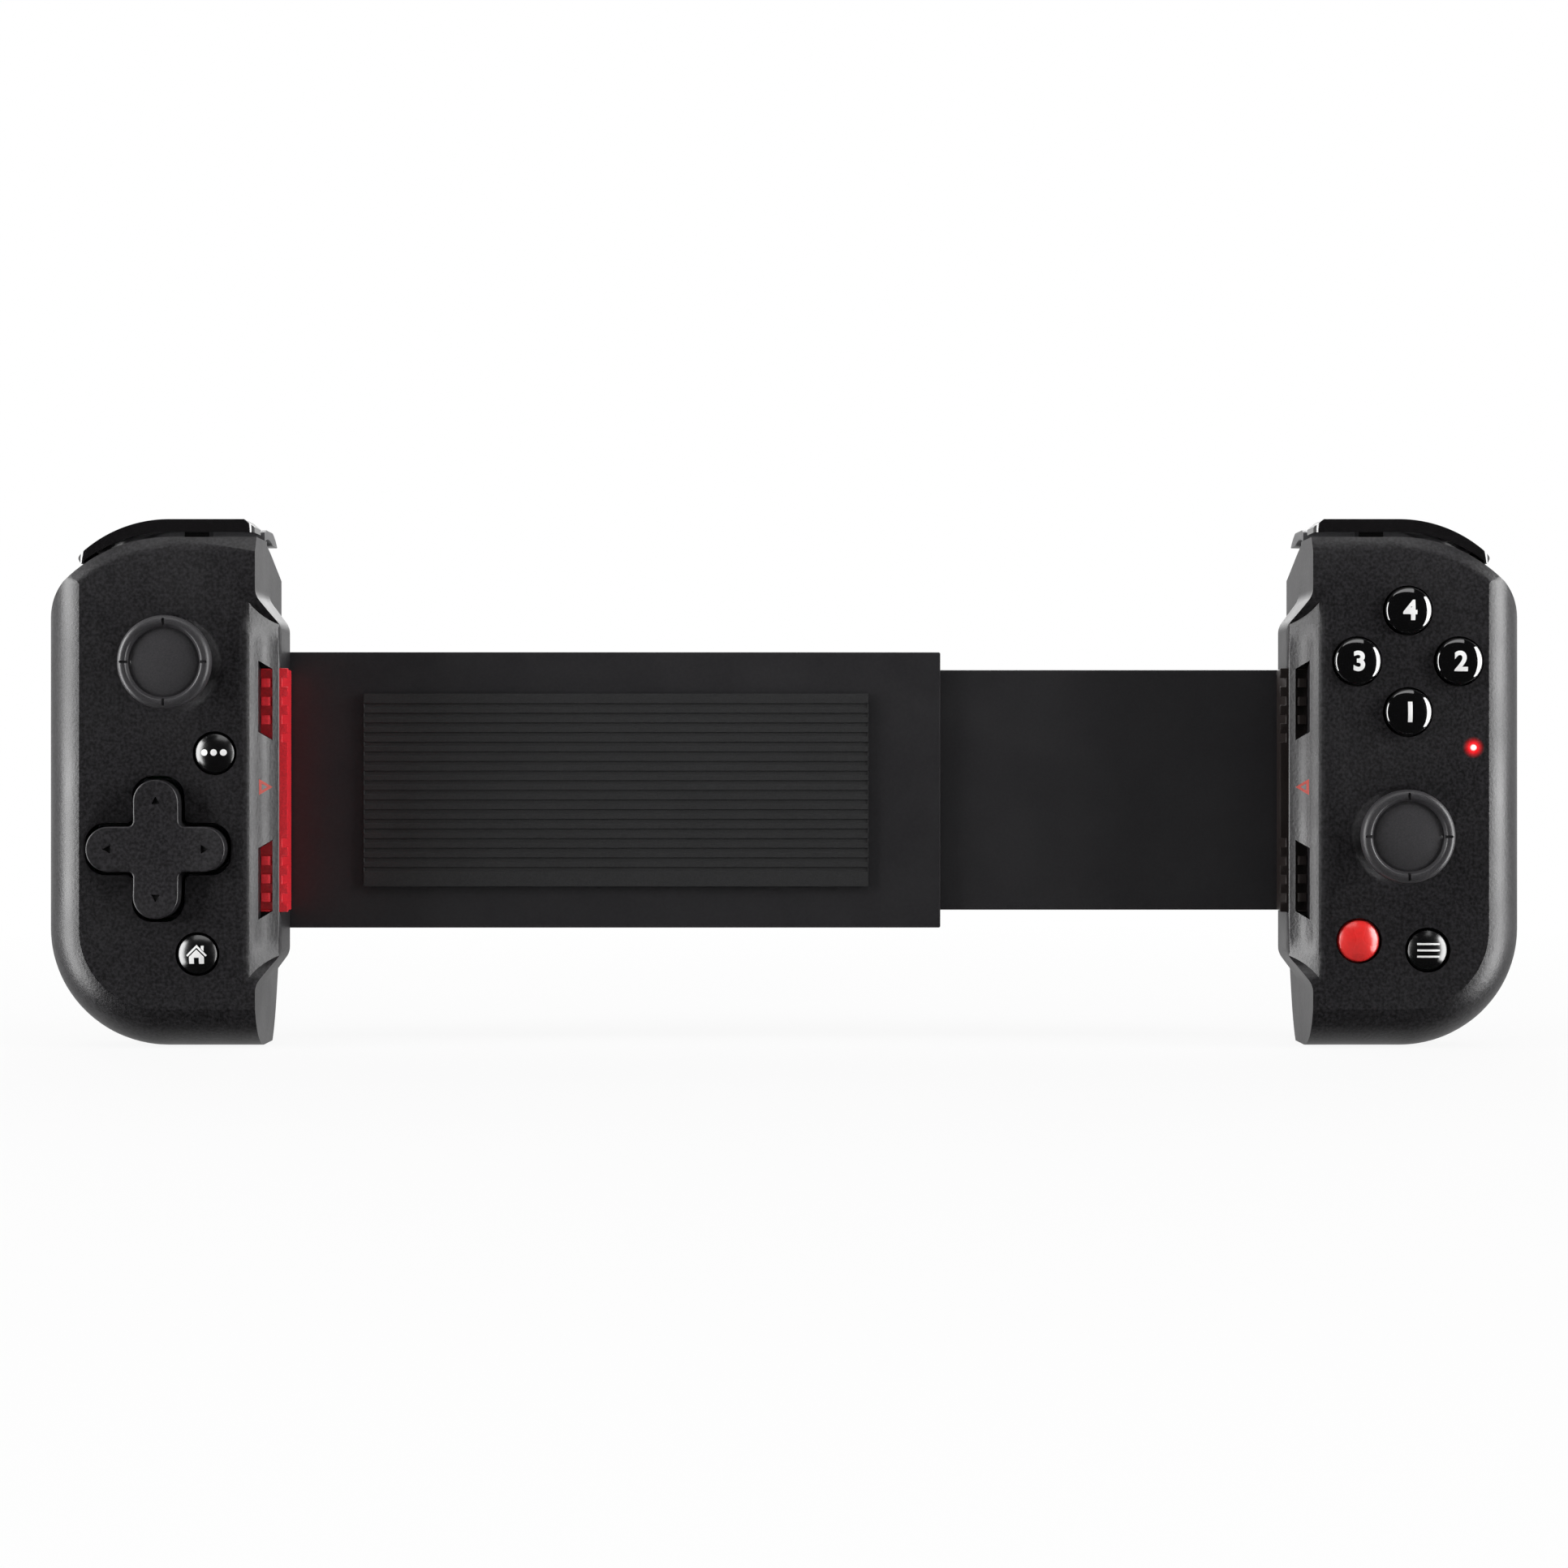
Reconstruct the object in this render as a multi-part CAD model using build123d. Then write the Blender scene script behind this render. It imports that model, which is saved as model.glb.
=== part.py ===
from build123d import *
import math
import os

os.makedirs("parts", exist_ok=True)

# Telescopic controller: two grips on a sliding bridge, upright, its front facing -Y.
# Places are given as u, depth and z: u is the distance from the middle plane, depth runs
# back from the front deck, z is the height above the grips' flat feet. The right-hand
# pieces are built first and the left-hand ones are their mirror images. Sizes are in mm.

# Grips
overall_width = 240.4
grip_width = 34.8
grip_height = 82.8
grip_depth = 26.5
wall = 1.8
parting_depth = 16.6
brow_radius = 24.0
brow_run = 14.2
shoulder_radius = 11.0
heel_radius = 19.3
front_round = 9.5
front_crease = 0.52
back_round = 8.0
band_width = 2.4
band_depth = 1.6
foot_back_depth = 17.2
foot_rise = (3.1, 4.6, 5.1, 9.8)
foot_rise_height = 18.8
overrun = 3.0

# Fits and gaps
running_gap = 0.05
button_gap = 0.3
slide_gap = 0.2
seat_gap = 0.1
travel_spare = 0.3

# Bay between the grips, and the cheeks at its two ends
cheek_reach = 3.65
bay_centre_share = 0.505
bay_front_depth = 5.3
bay_thickness = 8.8
cheek_half_at_deck = 31.5
cheek_half_at_lip = 26.95
cheek_brow = 2.1
cheek_knee_out = 1.2
cheek_knee_depth = 2.5
cheek_lip_depth = 4.5
cheek_lip_slope = 0.2
cheek_lip_back = 0.25
cheek_round = 4.0
cheek_corner = 3.0
cheek_fade = 2.0
cheek_slot_out = 0.2
cheek_slot_width = 2.0
cheek_slot_low = 9.4
cheek_slot_high = 21.0
cheek_slot_skew = 1.3
pad_thickness = 1.5
pad_flange_width = 2.9
pad_flange_thickness = 1.0
tooth_spacing = 3.0
tooth_height = 1.6
tooth_reach = 0.95
tooth_thickness = 0.7
teeth_each_end = 4
long_tooth_half = 7.85

# Bridge: sleeve on the left grip, tongue on the right grip
sleeve_wall = 1.4
sleeve_mouth_share = 0.30445
tongue_tip_share = 0.31148
tongue_half_height = 20.0
tongue_thickness = 4.0
tongue_groove_half = 8.0
tongue_groove_depth = 1.5
stop_lip = 1.3
stop_width = 3.0
stop_play = 0.2
rest_pad_thickness = 0.8
rest_pad_half_height = 16.0
rest_pad_margin = 12.0
flange_lip = 1.2
flange_thickness = 1.6
extend_travel = 8.0

# Return spring and flat cable inside the bridge
band_spring_width = 6.0
band_spring_thickness = 0.3
drum_coil_radius = 3.6
drum_core_radius = 3.1
drum_pin_radius = 1.2
drum_set_back = 10.6
lug_thickness = 1.6
flex_half_width = 6.5
flex_thickness = 0.3

# Thumb sticks
stick_pivot_depth = 8.0
stick_cap_radius = 7.5
stick_cap_rise = 7.0
stick_cap_thickness = 2.7
stick_disc_radius = 5.9
stick_disc_sink = 0.5
stick_rim_round = 0.65
stick_neck_radius = 3.2
stick_dome_radius = 7.5
stick_dome_wall = 0.7
stick_dome_angle = 53.0
stick_boss_radius = 2.6
stick_boss_low = 4.6
stem_radius = 1.2
stem_low = 3.2
well_mouth_radius = 8.3
well_throat_radius = 5.8
housing_half = 7.5
housing_wall = 1.3
housing_rise = 1.5
housing_floor_drop = 4.5
housing_floor = 0.8
click_nub_radius = 1.5
click_nub_rise = 0.4
yoke_half_u = 4.6
yoke_half_z = 3.9
yoke_half_depth = 1.3
yoke_hole_half_u = 3.2
yoke_hole_half_z = 2.9
yoke_shaft_radius = 1.0
yoke_shaft_end = 7.0
core_half_u = 2.2
core_half_z = 2.6
core_half_depth = 1.8
core_shaft_radius = 0.8
core_shaft_end = 3.8

# Direction pad
d_pad_half_span = 11.2
d_pad_arm_width = 7.3
d_pad_end_radius = 3.3
d_pad_corner_radius = 0.9
d_pad_rise = 2.5
d_pad_edge = 0.35
d_pad_gap = 0.6
dish_radius = 12.2
dish_depth = 1.0
dish_wall = 1.6
dish_rib = 1.2
d_pad_flange_radius = 9.5
d_pad_flange_depth = 3.6
d_pad_flange = 0.8
d_pad_hub_radius = 3.4
d_pad_hub = 1.2
d_pad_leg_radius = 1.4
d_pad_leg = 1.6
d_pad_leg_reach = 8.0
pivot_ridge_radius = 1.2
pivot_half = 2.5
pivot_plate = 0.8
pivot_gap = 0.35

# Push buttons
small_button_radius = 3.25
red_button_radius = 3.4
menu_button_radius = 3.35
small_button_rise = 0.9
small_button_edge = 0.35
face_button_radius = 3.75
face_button_rise = 1.1
face_button_dome = 0.9
face_button_spacing = 8.2
button_flange = 0.8
button_flange_lip = 0.8
button_stem_radius = 1.8
button_travel = 0.7
face_button_travel = 1.0

# Boards and rubber membranes
board_depth = 8.6
board_thickness = 1.0
board_gap = 0.8
membrane_thickness = 0.6
dome_height = 1.0
dome_radius = 2.2
membrane_margin = 1.2

# Bumpers along the top edge
bumper_gap = 0.8
bumper_thickness = 2.1
bumper_front = 1.5
bumper_length_back = 8.5
bumper_inner_end = 0.5
bumper_end_slant = 1.5
bumper_end_step = 0.9
bumper_end_round = 1.6
bumper_sweep = 36.0
bumper_end_gap = 0.35
bumper_end_thickness = 1.15
bumper_pin_radius = 0.7
bumper_eye_radius = 1.6
bumper_pin_inset = 3.8
bumper_pin_sweep = 33.0
bumper_arm_width = 2.2
bumper_arm_front = 4.0
bumper_arm_depth = 3.5
bumper_stem_start = 8.1
bumper_stem_width = 4.0
bumper_stem_drop = 5.7
bumper_switch_gap = 0.6
bumper_switch_height = 2.8

# Triggers behind the bumpers
trigger_pin_depth = 13.6
trigger_pin_drop = 2.8
trigger_pin_radius = 0.8
trigger_eye_radius = 1.9
trigger_rise = 2.1
trigger_thickness = 2.2
trigger_front = 11.9
trigger_back_reach = 1.7
trigger_tail_drop = 10.3
trigger_shoulder_drop = 2.3
trigger_inner_end = 0.4
trigger_width = 25.4
pocket_front = 11.6
pocket_drop = 5.4
pocket_bend = 16.2
pocket_back = 23.0
pocket_back_drop = 13.3
pocket_edge_drop = 15.3
pocket_side_gap = 0.4
trigger_lug_width = 2.0
trigger_eye_margin = 2.4
wall_slope_drops = (0.6, 2.0, 6.6)
leaf_thickness = 0.4
leaf_width = 5.0

# Screws, light, charging port and battery
screw_head_radius = 1.5
screw_head = 1.2
screw_shank_radius = 0.85
screw_length = 10.0
screw_seat_depth = 19.2
screw_well_gap = 0.3
boss_radius = 2.3
led_radius = 0.6
led_flange = 0.4
port_share = 0.33
port_depth = 12.0
port_width = 9.0
port_thickness = 3.3
port_length = 7.3
port_wall = 0.35
port_tongue = 0.7
port_sink = 0.7
port_recess_width = 14.0
port_recess_depth = 7.0
battery_width = 20.0
battery_foot_gap = 1.2
battery_top_gap = 3.9
battery_thickness = 4.6

# Places on the deck, as shares of the grip's width and height
left_stick_share = (0.388, 0.752)
d_pad_share = (0.450, 0.390)
dots_share = (0.187, 0.577)
home_share = (0.267, 0.185)
right_stick_share = (0.408, 0.4155)
diamond_share = (0.440, 0.756)
led_share = (0.744, 0.588)
red_share = (0.213, 0.211)
menu_share = (0.532, 0.193)
screw_shares = [(0.129, 0.109), (0.810, 0.229), (0.856, 0.797)]

# Sizes worked out from the ones above
half_width = overall_width / 2
wall_u = half_width - grip_width
bay_half = wall_u - cheek_reach
bay_z = bay_centre_share * grip_height
deck_y = (stick_cap_rise - grip_depth - trigger_back_reach) / 2
deck_under = wall
brow_u = wall_u + brow_run
brow_z = grip_height - brow_radius
shoulder_u = half_width - shoulder_radius
shoulder_z = brow_z + math.sqrt((brow_radius - shoulder_radius) ** 2 - (shoulder_u - brow_u) ** 2)
shoulder_angle = math.degrees(math.atan2(shoulder_z - brow_z, shoulder_u - brow_u))
lip_u = bay_half + cheek_lip_back
pad_back_u = bay_half + pad_thickness
pad_half = long_tooth_half + teeth_each_end * tooth_spacing
rest_depth = bay_front_depth + bay_thickness + seat_gap
sleeve_front = rest_depth + rest_pad_thickness
sleeve_thickness = tongue_thickness + 2 * slide_gap + 2 * sleeve_wall
sleeve_back = sleeve_front + sleeve_thickness
bridge_depth = sleeve_front + sleeve_thickness / 2
bore_half = tongue_half_height + slide_gap
stop_half = tongue_half_height + stop_lip
wide_half = stop_half + slide_gap
sleeve_half = wide_half + sleeve_wall
flange_half = sleeve_half + flange_lip
flange_u = wall_u + wall + seat_gap
flange_end = flange_u + flange_thickness
sleeve_mouth_x = sleeve_mouth_share * wall_u
tongue_tip_x = -tongue_tip_share * wall_u
stop_step_x = tongue_tip_x + stop_width + extend_travel + stop_play
membrane_depth = board_depth - membrane_thickness
dome_depth = membrane_depth - dome_height
board_back = board_depth + board_thickness
bumper_low = grip_height + bumper_gap
bumper_high = bumper_low + bumper_thickness
bumper_back = bumper_front + bumper_length_back
trigger_u0 = wall_u + trigger_inner_end
trigger_u1 = trigger_u0 + trigger_width
trigger_pin_z = grip_height - trigger_pin_drop
pocket_u0 = wall_u + wall
pocket_u1 = trigger_u1 + pocket_side_gap


def place(share):
    """u and z of a point given as shares of the deck."""
    return wall_u + share[0] * grip_width, share[1] * grip_height


def block(u0, u1, d0, d1, z0, z1):
    """A box between two corners."""
    low = Pos(u0, deck_y + d0, z0)
    return low * Box(u1 - u0, d1 - d0, z1 - z0, align=(Align.MIN, Align.MIN, Align.MIN))


def post(u, z, radius, d0, d1):
    """A round post along the depth."""
    turn = Pos(u, deck_y + d0, z) * Rot(-90, 0, 0)
    return turn * Cylinder(radius, d1 - d0, align=(Align.CENTER, Align.CENTER, Align.MIN))


def bolt_u(d, z, radius, u0, u1):
    """A round bar across the grip."""
    turn = Pos(u0, deck_y + d, z) * Rot(0, 90, 0)
    return turn * Cylinder(radius, u1 - u0, align=(Align.CENTER, Align.CENTER, Align.MIN))


def bolt_z(u, d, radius, z0, z1):
    """A round upright bar."""
    return Pos(u, deck_y + d, z0) * Cylinder(
        radius, z1 - z0, align=(Align.CENTER, Align.CENTER, Align.MIN)
    )


def slab(face, d0, d1):
    """A front-view outline in u and z, given its depth."""
    back = Plane(origin=(0, deck_y + d1, 0), x_dir=(1, 0, 0), z_dir=(0, -1, 0))
    return extrude(back * face, d1 - d0)


def bar(face, u0, u1):
    """A side-view outline in depth and z, given its width."""
    side = Plane(origin=(u0, deck_y, 0), x_dir=(0, 1, 0), z_dir=(1, 0, 0))
    return extrude(side * face, u1 - u0)


def column(face, z0, z1):
    """A plan-view outline in u and depth, given its height."""
    plan = Plane(origin=(0, deck_y, z0), x_dir=(1, 0, 0), z_dir=(0, 0, 1))
    return extrude(plan * face, z1 - z0)


def polygon(points):
    """A face with straight sides through the points."""
    return make_face(Polyline(*points, close=True))


def turned(face, u, d, z):
    """A ring shape: a face in radius and height above a pivot, turned round the depth axis."""
    side = Plane(origin=(u, deck_y + d, z), x_dir=(1, 0, 0), z_dir=(0, 0, 1))
    return revolve(side * face, Axis((u, deck_y + d, z), (0, 1, 0)))


def mirrored(shape):
    """The left-hand copy of a right-hand piece."""
    return mirror(shape, about=Plane.YZ)


# Grip form: the outline seen from the front, rounded over towards the sides
def outline(inset, u_inner):
    """Front-view outline of a grip, drawn in by an inset on its outer sides."""
    brow = brow_radius - inset
    shoulder = shoulder_radius - inset
    heel = heel_radius - inset
    u_outer = half_width - inset
    z_low = inset
    z_high = grip_height - inset
    turn = math.radians(shoulder_angle)
    meet = (brow_u + brow * math.cos(turn), brow_z + brow * math.sin(turn))
    heel_z = heel_radius
    heel_u = half_width - heel_radius
    edges = [
        Line((u_inner, z_low), (u_inner, z_high)),
        Line((u_inner, z_high), (brow_u, z_high)),
        CenterArc((brow_u, brow_z), brow, shoulder_angle, 90 - shoulder_angle),
        CenterArc((shoulder_u, shoulder_z), shoulder, 0, shoulder_angle),
        Line((u_outer, shoulder_z), (u_outer, heel_z)),
        CenterArc((heel_u, heel_z), heel, -90, 90),
        Line((heel_u, z_low), (u_inner, z_low)),
    ]
    return make_face(Wire(edges))


def side_outline(inset):
    """The grip seen from its inner side: a round front, a flat foot and a slanted heel."""
    back = grip_depth - inset
    low = inset
    high = grip_height + overrun
    rise = [
        (foot_back_depth, low),
        (foot_back_depth + foot_rise[0], foot_rise[1] + inset),
        (foot_back_depth + foot_rise[2], foot_rise[3] + inset),
        (back, foot_rise_height + inset),
    ]
    edges = [
        Polyline((-overrun, low), rise[0]),
        Spline(*rise),
        Polyline(rise[-1], (back, high), (-overrun, high), (-overrun, low)),
    ]
    return make_face(Curve() + edges)


def rim_edges(solid, side, z_high, u_inner):
    """Edges round the front or back face, without those on the inner wall and above the top."""
    edges = solid.edges().group_by(Axis.Y)[side]
    edges = edges.filter_by(lambda e: e.center().Z < z_high - overrun / 2)
    return edges.filter_by(lambda e: e.center().X > u_inner + overrun / 2)


def grip_form(inset, u_inner):
    """The solid form of a grip, or of its inside when it is drawn in by the wall."""
    heel = heel_radius - inset
    u_outer = half_width - inset
    heel_u = half_width - heel_radius
    z_high = grip_height + overrun
    edges = [
        Line((u_inner, inset), (u_inner, z_high)),
        Line((u_inner, z_high), (u_outer, z_high)),
        Line((u_outer, z_high), (u_outer, heel_radius)),
        CenterArc((heel_u, heel_radius), heel, -90, 90),
        Line((heel_u, inset), (u_inner, inset)),
    ]
    back = grip_depth - inset
    rounded = slab(make_face(Wire(edges)), inset - front_crease, back)
    rounded = fillet(rim_edges(rounded, 0, z_high, u_inner), front_round - inset)
    rounded = fillet(rim_edges(rounded, -1, z_high, u_inner), back_round - inset)
    front_view = slab(outline(inset, u_inner), inset, back)
    if inset == 0:
        brow = front_view.edges().group_by(Axis.Y)[0]
        brow = brow.filter_by(lambda e: e.center().Z > shoulder_z)
        front_face = front_view.faces().sort_by(Axis.Y)[0]
        front_view = chamfer(brow, band_width, band_depth, reference=front_face)
    side_view = bar(side_outline(inset), u_inner, u_outer)
    return rounded & front_view & side_view


# Shells
def trigger_pocket(grow):
    """The room behind the brow in which the trigger swings."""
    face = polygon(
        [
            (pocket_front - grow, grip_height + bumper_high),
            (pocket_front - grow, grip_height - pocket_drop - grow),
            (pocket_bend, grip_height - pocket_drop - grow),
            (pocket_back, grip_height - pocket_back_drop - grow),
            (grip_depth + overrun, grip_height - pocket_edge_drop - grow),
            (grip_depth + overrun, grip_height + bumper_high),
        ]
    )
    return bar(face, pocket_u0, pocket_u1 + grow)


def wall_slope():
    """What the inner wall loses behind the brow, where its top edge falls towards the back."""
    drops = wall_slope_drops
    face = polygon(
        [
            (pocket_front, grip_height + overrun),
            (pocket_front, grip_height - drops[0]),
            (pocket_bend, grip_height - drops[1]),
            (grip_depth + overrun, grip_height - drops[2]),
            (grip_depth + overrun, grip_height + overrun),
        ]
    )
    return bar(face, wall_u - overrun, pocket_u1)


def cheek_solid():
    """The bulge on the inner wall at one end of the bay, before its slope is cut."""
    high = cheek_half_at_deck + cheek_fade
    plan = polygon(
        [
            (pocket_u0, 0),
            (lip_u + cheek_lip_slope, 0),
            (lip_u + cheek_lip_slope, cheek_lip_depth),
            (lip_u, cheek_lip_depth + cheek_lip_depth / 3),
            (lip_u, rest_depth),
            (pocket_u0, rest_depth),
        ]
    )
    front = polygon(
        [
            (pocket_u0, bay_z - high),
            (wall_u, bay_z - high),
            (wall_u, bay_z - cheek_half_at_deck),
            (lip_u, bay_z - cheek_half_at_lip),
            (lip_u, bay_z + cheek_half_at_lip),
            (wall_u, bay_z + cheek_half_at_deck),
            (wall_u, bay_z + high),
            (pocket_u0, bay_z + high),
        ]
    )
    corners = front.vertices().filter_by(lambda v: v.X < pocket_u0 - wall / 2)
    corners = corners.filter_by(lambda v: abs(v.Y - bay_z) < high - cheek_fade / 2)
    front = fillet(corners, cheek_corner)
    return slab(front, 0, rest_depth) & column(plan, bay_z - high, bay_z + high)


def cheek_slope_cut():
    """What the cheek's slope takes off the deck: it leaves it in soft arcs, also at its two ends."""
    angle = math.atan2(cheek_knee_depth, cheek_brow + cheek_knee_out)
    run = cheek_round * math.tan(angle / 2)
    crease_u = wall_u + cheek_brow
    start = (crease_u + run, 0)
    turned_down = (crease_u - run * math.cos(angle), run * math.sin(angle))
    lip = (lip_u + cheek_lip_slope, cheek_lip_depth)
    edges = [
        TangentArc(start, turned_down, tangent=(-1, 0)),
        TangentArc(turned_down, lip, tangent=(-math.cos(angle), math.sin(angle))),
        Polyline(
            lip,
            (lip_u - overrun, cheek_lip_depth),
            (lip_u - overrun, -overrun),
            (crease_u + run, -overrun),
            start,
        ),
    ]
    high = cheek_half_at_deck + cheek_fade
    slope = column(make_face(Curve() + edges), bay_z - high, bay_z + high)
    fades = [
        Line((-overrun, bay_z - high), (-overrun, bay_z + high)),
        Line((-overrun, bay_z + high), (0, bay_z + high)),
        TangentArc((0, bay_z + high), (cheek_lip_depth, bay_z + cheek_half_at_lip), tangent=(0, -1)),
        Line((cheek_lip_depth, bay_z + cheek_half_at_lip), (cheek_lip_depth, bay_z - cheek_half_at_lip)),
        TangentArc((0, bay_z - high), (cheek_lip_depth, bay_z - cheek_half_at_lip), tangent=(0, 1)),
        Line((0, bay_z - high), (-overrun, bay_z - high)),
    ]
    return slope & bar(make_face(Wire(fades)), lip_u - overrun, crease_u + run)


def cheek_slots():
    """Two skewed slots through the cheek's skin."""
    slots = []
    u1 = wall_u - cheek_slot_out
    u0 = u1 - cheek_slot_width
    for way in (-1, 1):
        low = bay_z + way * cheek_slot_low
        high = bay_z + way * cheek_slot_high
        skew = way * cheek_slot_skew
        face = polygon([(u1, low), (u1, high), (u0, high - skew), (u0, low - skew)])
        slots.append(slab(face, -overrun, cheek_lip_depth))
    return slots


def pad_room():
    """The recess for the rubber pad behind the cheek's skin."""
    low = bay_z - pad_half - seat_gap
    high = bay_z + pad_half + seat_gap
    top = cheek_lip_depth
    liner = block(bay_half - overrun, pad_back_u + seat_gap, top, rest_depth + overrun, low, high)
    flange_end_u = pad_back_u + pad_flange_width + seat_gap
    flange_back = top + pad_flange_thickness + seat_gap
    return liner + block(pad_back_u, flange_end_u, top, flange_back, low, high)


def phone_pad():
    """Rubber pad: a liner for the end of the bay, a flange under the skin, and a row of teeth."""
    low = bay_z - pad_half
    high = bay_z + pad_half
    top = cheek_lip_depth
    flange_end_u = pad_back_u + pad_flange_width
    pad = block(bay_half, pad_back_u, top, rest_depth - seat_gap, low, high)
    pad += block(pad_back_u - seat_gap, flange_end_u, top, top + pad_flange_thickness, low, high)
    teeth = [(bay_z, long_tooth_half)]
    for way in (-1, 1):
        for count in range(teeth_each_end):
            centre = long_tooth_half + (count + 1) * tooth_spacing - tooth_height / 2
            teeth.append((bay_z + way * centre, tooth_height / 2))
    tip = bay_half - tooth_reach
    root = bay_half + tooth_reach
    for z, half in teeth:
        pad += block(tip, root, top, top + tooth_thickness, z - half, z + half)
    return pad


def bridge_room():
    """The opening in the inner wall that the bridge passes through."""
    return block(
        wall_u - overrun,
        pocket_u0 + overrun,
        sleeve_front - slide_gap,
        sleeve_back + slide_gap,
        bay_z - sleeve_half - slide_gap,
        bay_z + sleeve_half + slide_gap,
    )


def bumper_pin_place():
    """u and z of the bumper's pin, inside the shoulder."""
    angle = math.radians(90 - bumper_pin_sweep)
    reach = brow_radius - bumper_pin_inset
    return brow_u + reach * math.cos(angle), brow_z + reach * math.sin(angle)


def brow_sector(r0, r1, from_top0, from_top1, d0, d1):
    """A piece of ring concentric with the brow, between two angles from the top."""
    a0 = 90 - from_top1
    turn = from_top1 - from_top0
    start = math.radians(a0)
    end = math.radians(a0 + turn)
    edges = [
        CenterArc((brow_u, brow_z), r0, a0, turn),
        CenterArc((brow_u, brow_z), r1, a0, turn),
        Line(
            (brow_u + r0 * math.cos(start), brow_z + r0 * math.sin(start)),
            (brow_u + r1 * math.cos(start), brow_z + r1 * math.sin(start)),
        ),
        Line(
            (brow_u + r0 * math.cos(end), brow_z + r0 * math.sin(end)),
            (brow_u + r1 * math.cos(end), brow_z + r1 * math.sin(end)),
        ),
    ]
    return slab(make_face(edges), d0, d1)


def shell_body():
    """The hollow grip before it is split into its front and rear shells."""
    body = grip_form(0, wall_u)
    inside = grip_form(wall, wall_u + wall) - trigger_pocket(wall)
    body = body - inside - trigger_pocket(0) - wall_slope()
    body = body + cheek_solid() - cheek_slope_cut()
    body = body - pad_room() - bridge_room()
    for slot in cheek_slots():
        body = body - slot
    return body


def half_space(d0, d1):
    """A block that keeps one range of depth of a grip."""
    return block(bay_half - overrun, half_width + overrun, d0, d1, -overrun, grip_height + overrun)


def hole(share, radius, depth):
    """A round hole through the deck."""
    u, z = place(share)
    return post(u, z, radius, -overrun, depth)


def stick_well(share):
    """The round well in the deck round a thumb stick, narrowing towards its throat."""
    u, z = place(share)
    side = Plane(origin=(u, deck_y, z), x_dir=(1, 0, 0), z_dir=(0, 0, 1))
    face = polygon(
        [
            (0, -overrun),
            (well_mouth_radius + overrun * (well_mouth_radius - well_throat_radius) / wall, -overrun),
            (well_throat_radius, wall),
            (well_throat_radius, wall + overrun),
            (0, wall + overrun),
        ]
    )
    return revolve(side * face, Axis((u, deck_y, z), (0, 1, 0)))


def screw_holes(share):
    """Blind hole in the boss, clear hole in the column and the well of the head."""
    u, z = place(share)
    low = screw_seat_depth - screw_length - travel_spare
    pilot = post(u, z, screw_shank_radius + running_gap, low, grip_depth + overrun)
    well = post(u, z, screw_head_radius + screw_well_gap, screw_seat_depth, grip_depth + overrun)
    return pilot + well


def trigger_lugs():
    """Two lugs in the pocket that hold the trigger's pin."""
    lugs = []
    foot = grip_height - pocket_drop - wall / 2
    for u in (pocket_u0, pocket_u1 - trigger_lug_width):
        lug = bolt_u(trigger_pin_depth, trigger_pin_z, trigger_eye_radius, u, u + trigger_lug_width)
        lug += block(
            u,
            u + trigger_lug_width,
            trigger_pin_depth - trigger_eye_radius,
            trigger_pin_depth + trigger_eye_radius,
            foot,
            trigger_pin_z,
        )
        lugs.append(lug)
    return lugs


def front_shell(holes):
    """Front shell with its bosses, the bumper's pin boss and the openings in its deck."""
    form = grip_form(0, wall_u)
    shell = shell_body() & half_space(-overrun, parting_depth)
    for share in screw_shares:
        u, z = place(share)
        shell += post(u, z, boss_radius, wall / 2, parting_depth) & form
    pin_u, pin_z = bumper_pin_place()
    shell += post(pin_u, pin_z, bumper_eye_radius, wall / 2, bumper_arm_front - travel_spare)
    for lug in trigger_lugs():
        shell += lug
    for share in screw_shares:
        shell -= screw_holes(share)
    shell -= post(pin_u, pin_z, bumper_pin_radius, wall, bumper_back)
    shell -= trigger_pin()
    stem_u = wall_u + bumper_stem_start
    shell -= block(
        stem_u - button_gap,
        stem_u + bumper_stem_width + button_gap,
        bumper_arm_front - button_gap,
        bumper_arm_front + bumper_arm_depth + button_gap,
        grip_height - wall - overrun,
        grip_height + overrun,
    )
    arm_turn = math.degrees(bumper_arm_width / 2 / brow_radius) + math.degrees(button_gap / brow_radius)
    shell -= brow_sector(
        brow_radius - wall - travel_spare,
        brow_radius + wall,
        bumper_pin_sweep - arm_turn,
        bumper_pin_sweep + arm_turn,
        bumper_arm_front - button_gap,
        bumper_arm_front + bumper_arm_depth + button_gap,
    )
    for cut in holes:
        shell -= cut
    return shell


def rear_shell():
    """Rear shell with its screw columns."""
    form = grip_form(0, wall_u)
    shell = shell_body() & half_space(parting_depth, grip_depth + overrun)
    for share in screw_shares:
        u, z = place(share)
        shell += post(u, z, boss_radius, parting_depth, grip_depth) & form
    for share in screw_shares:
        shell -= screw_holes(share)
    return shell


def screws():
    """Screws of one grip, their heads at the bottom of the wells in the rear shell."""
    parts = []
    seat = screw_seat_depth
    slot_half = screw_head_radius / 6
    slot_reach = screw_head_radius * 2 / 3
    for share in screw_shares:
        u, z = place(share)
        head = post(u, z, screw_head_radius, seat, seat + screw_head)
        half = seat + screw_head / 2
        back = seat + screw_head
        head -= block(u - slot_reach, u + slot_reach, half, back, z - slot_half, z + slot_half)
        head -= block(u - slot_half, u + slot_half, half, back, z - slot_reach, z + slot_reach)
        parts.append(head + post(u, z, screw_shank_radius, seat - screw_length, seat))
    return parts


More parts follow.
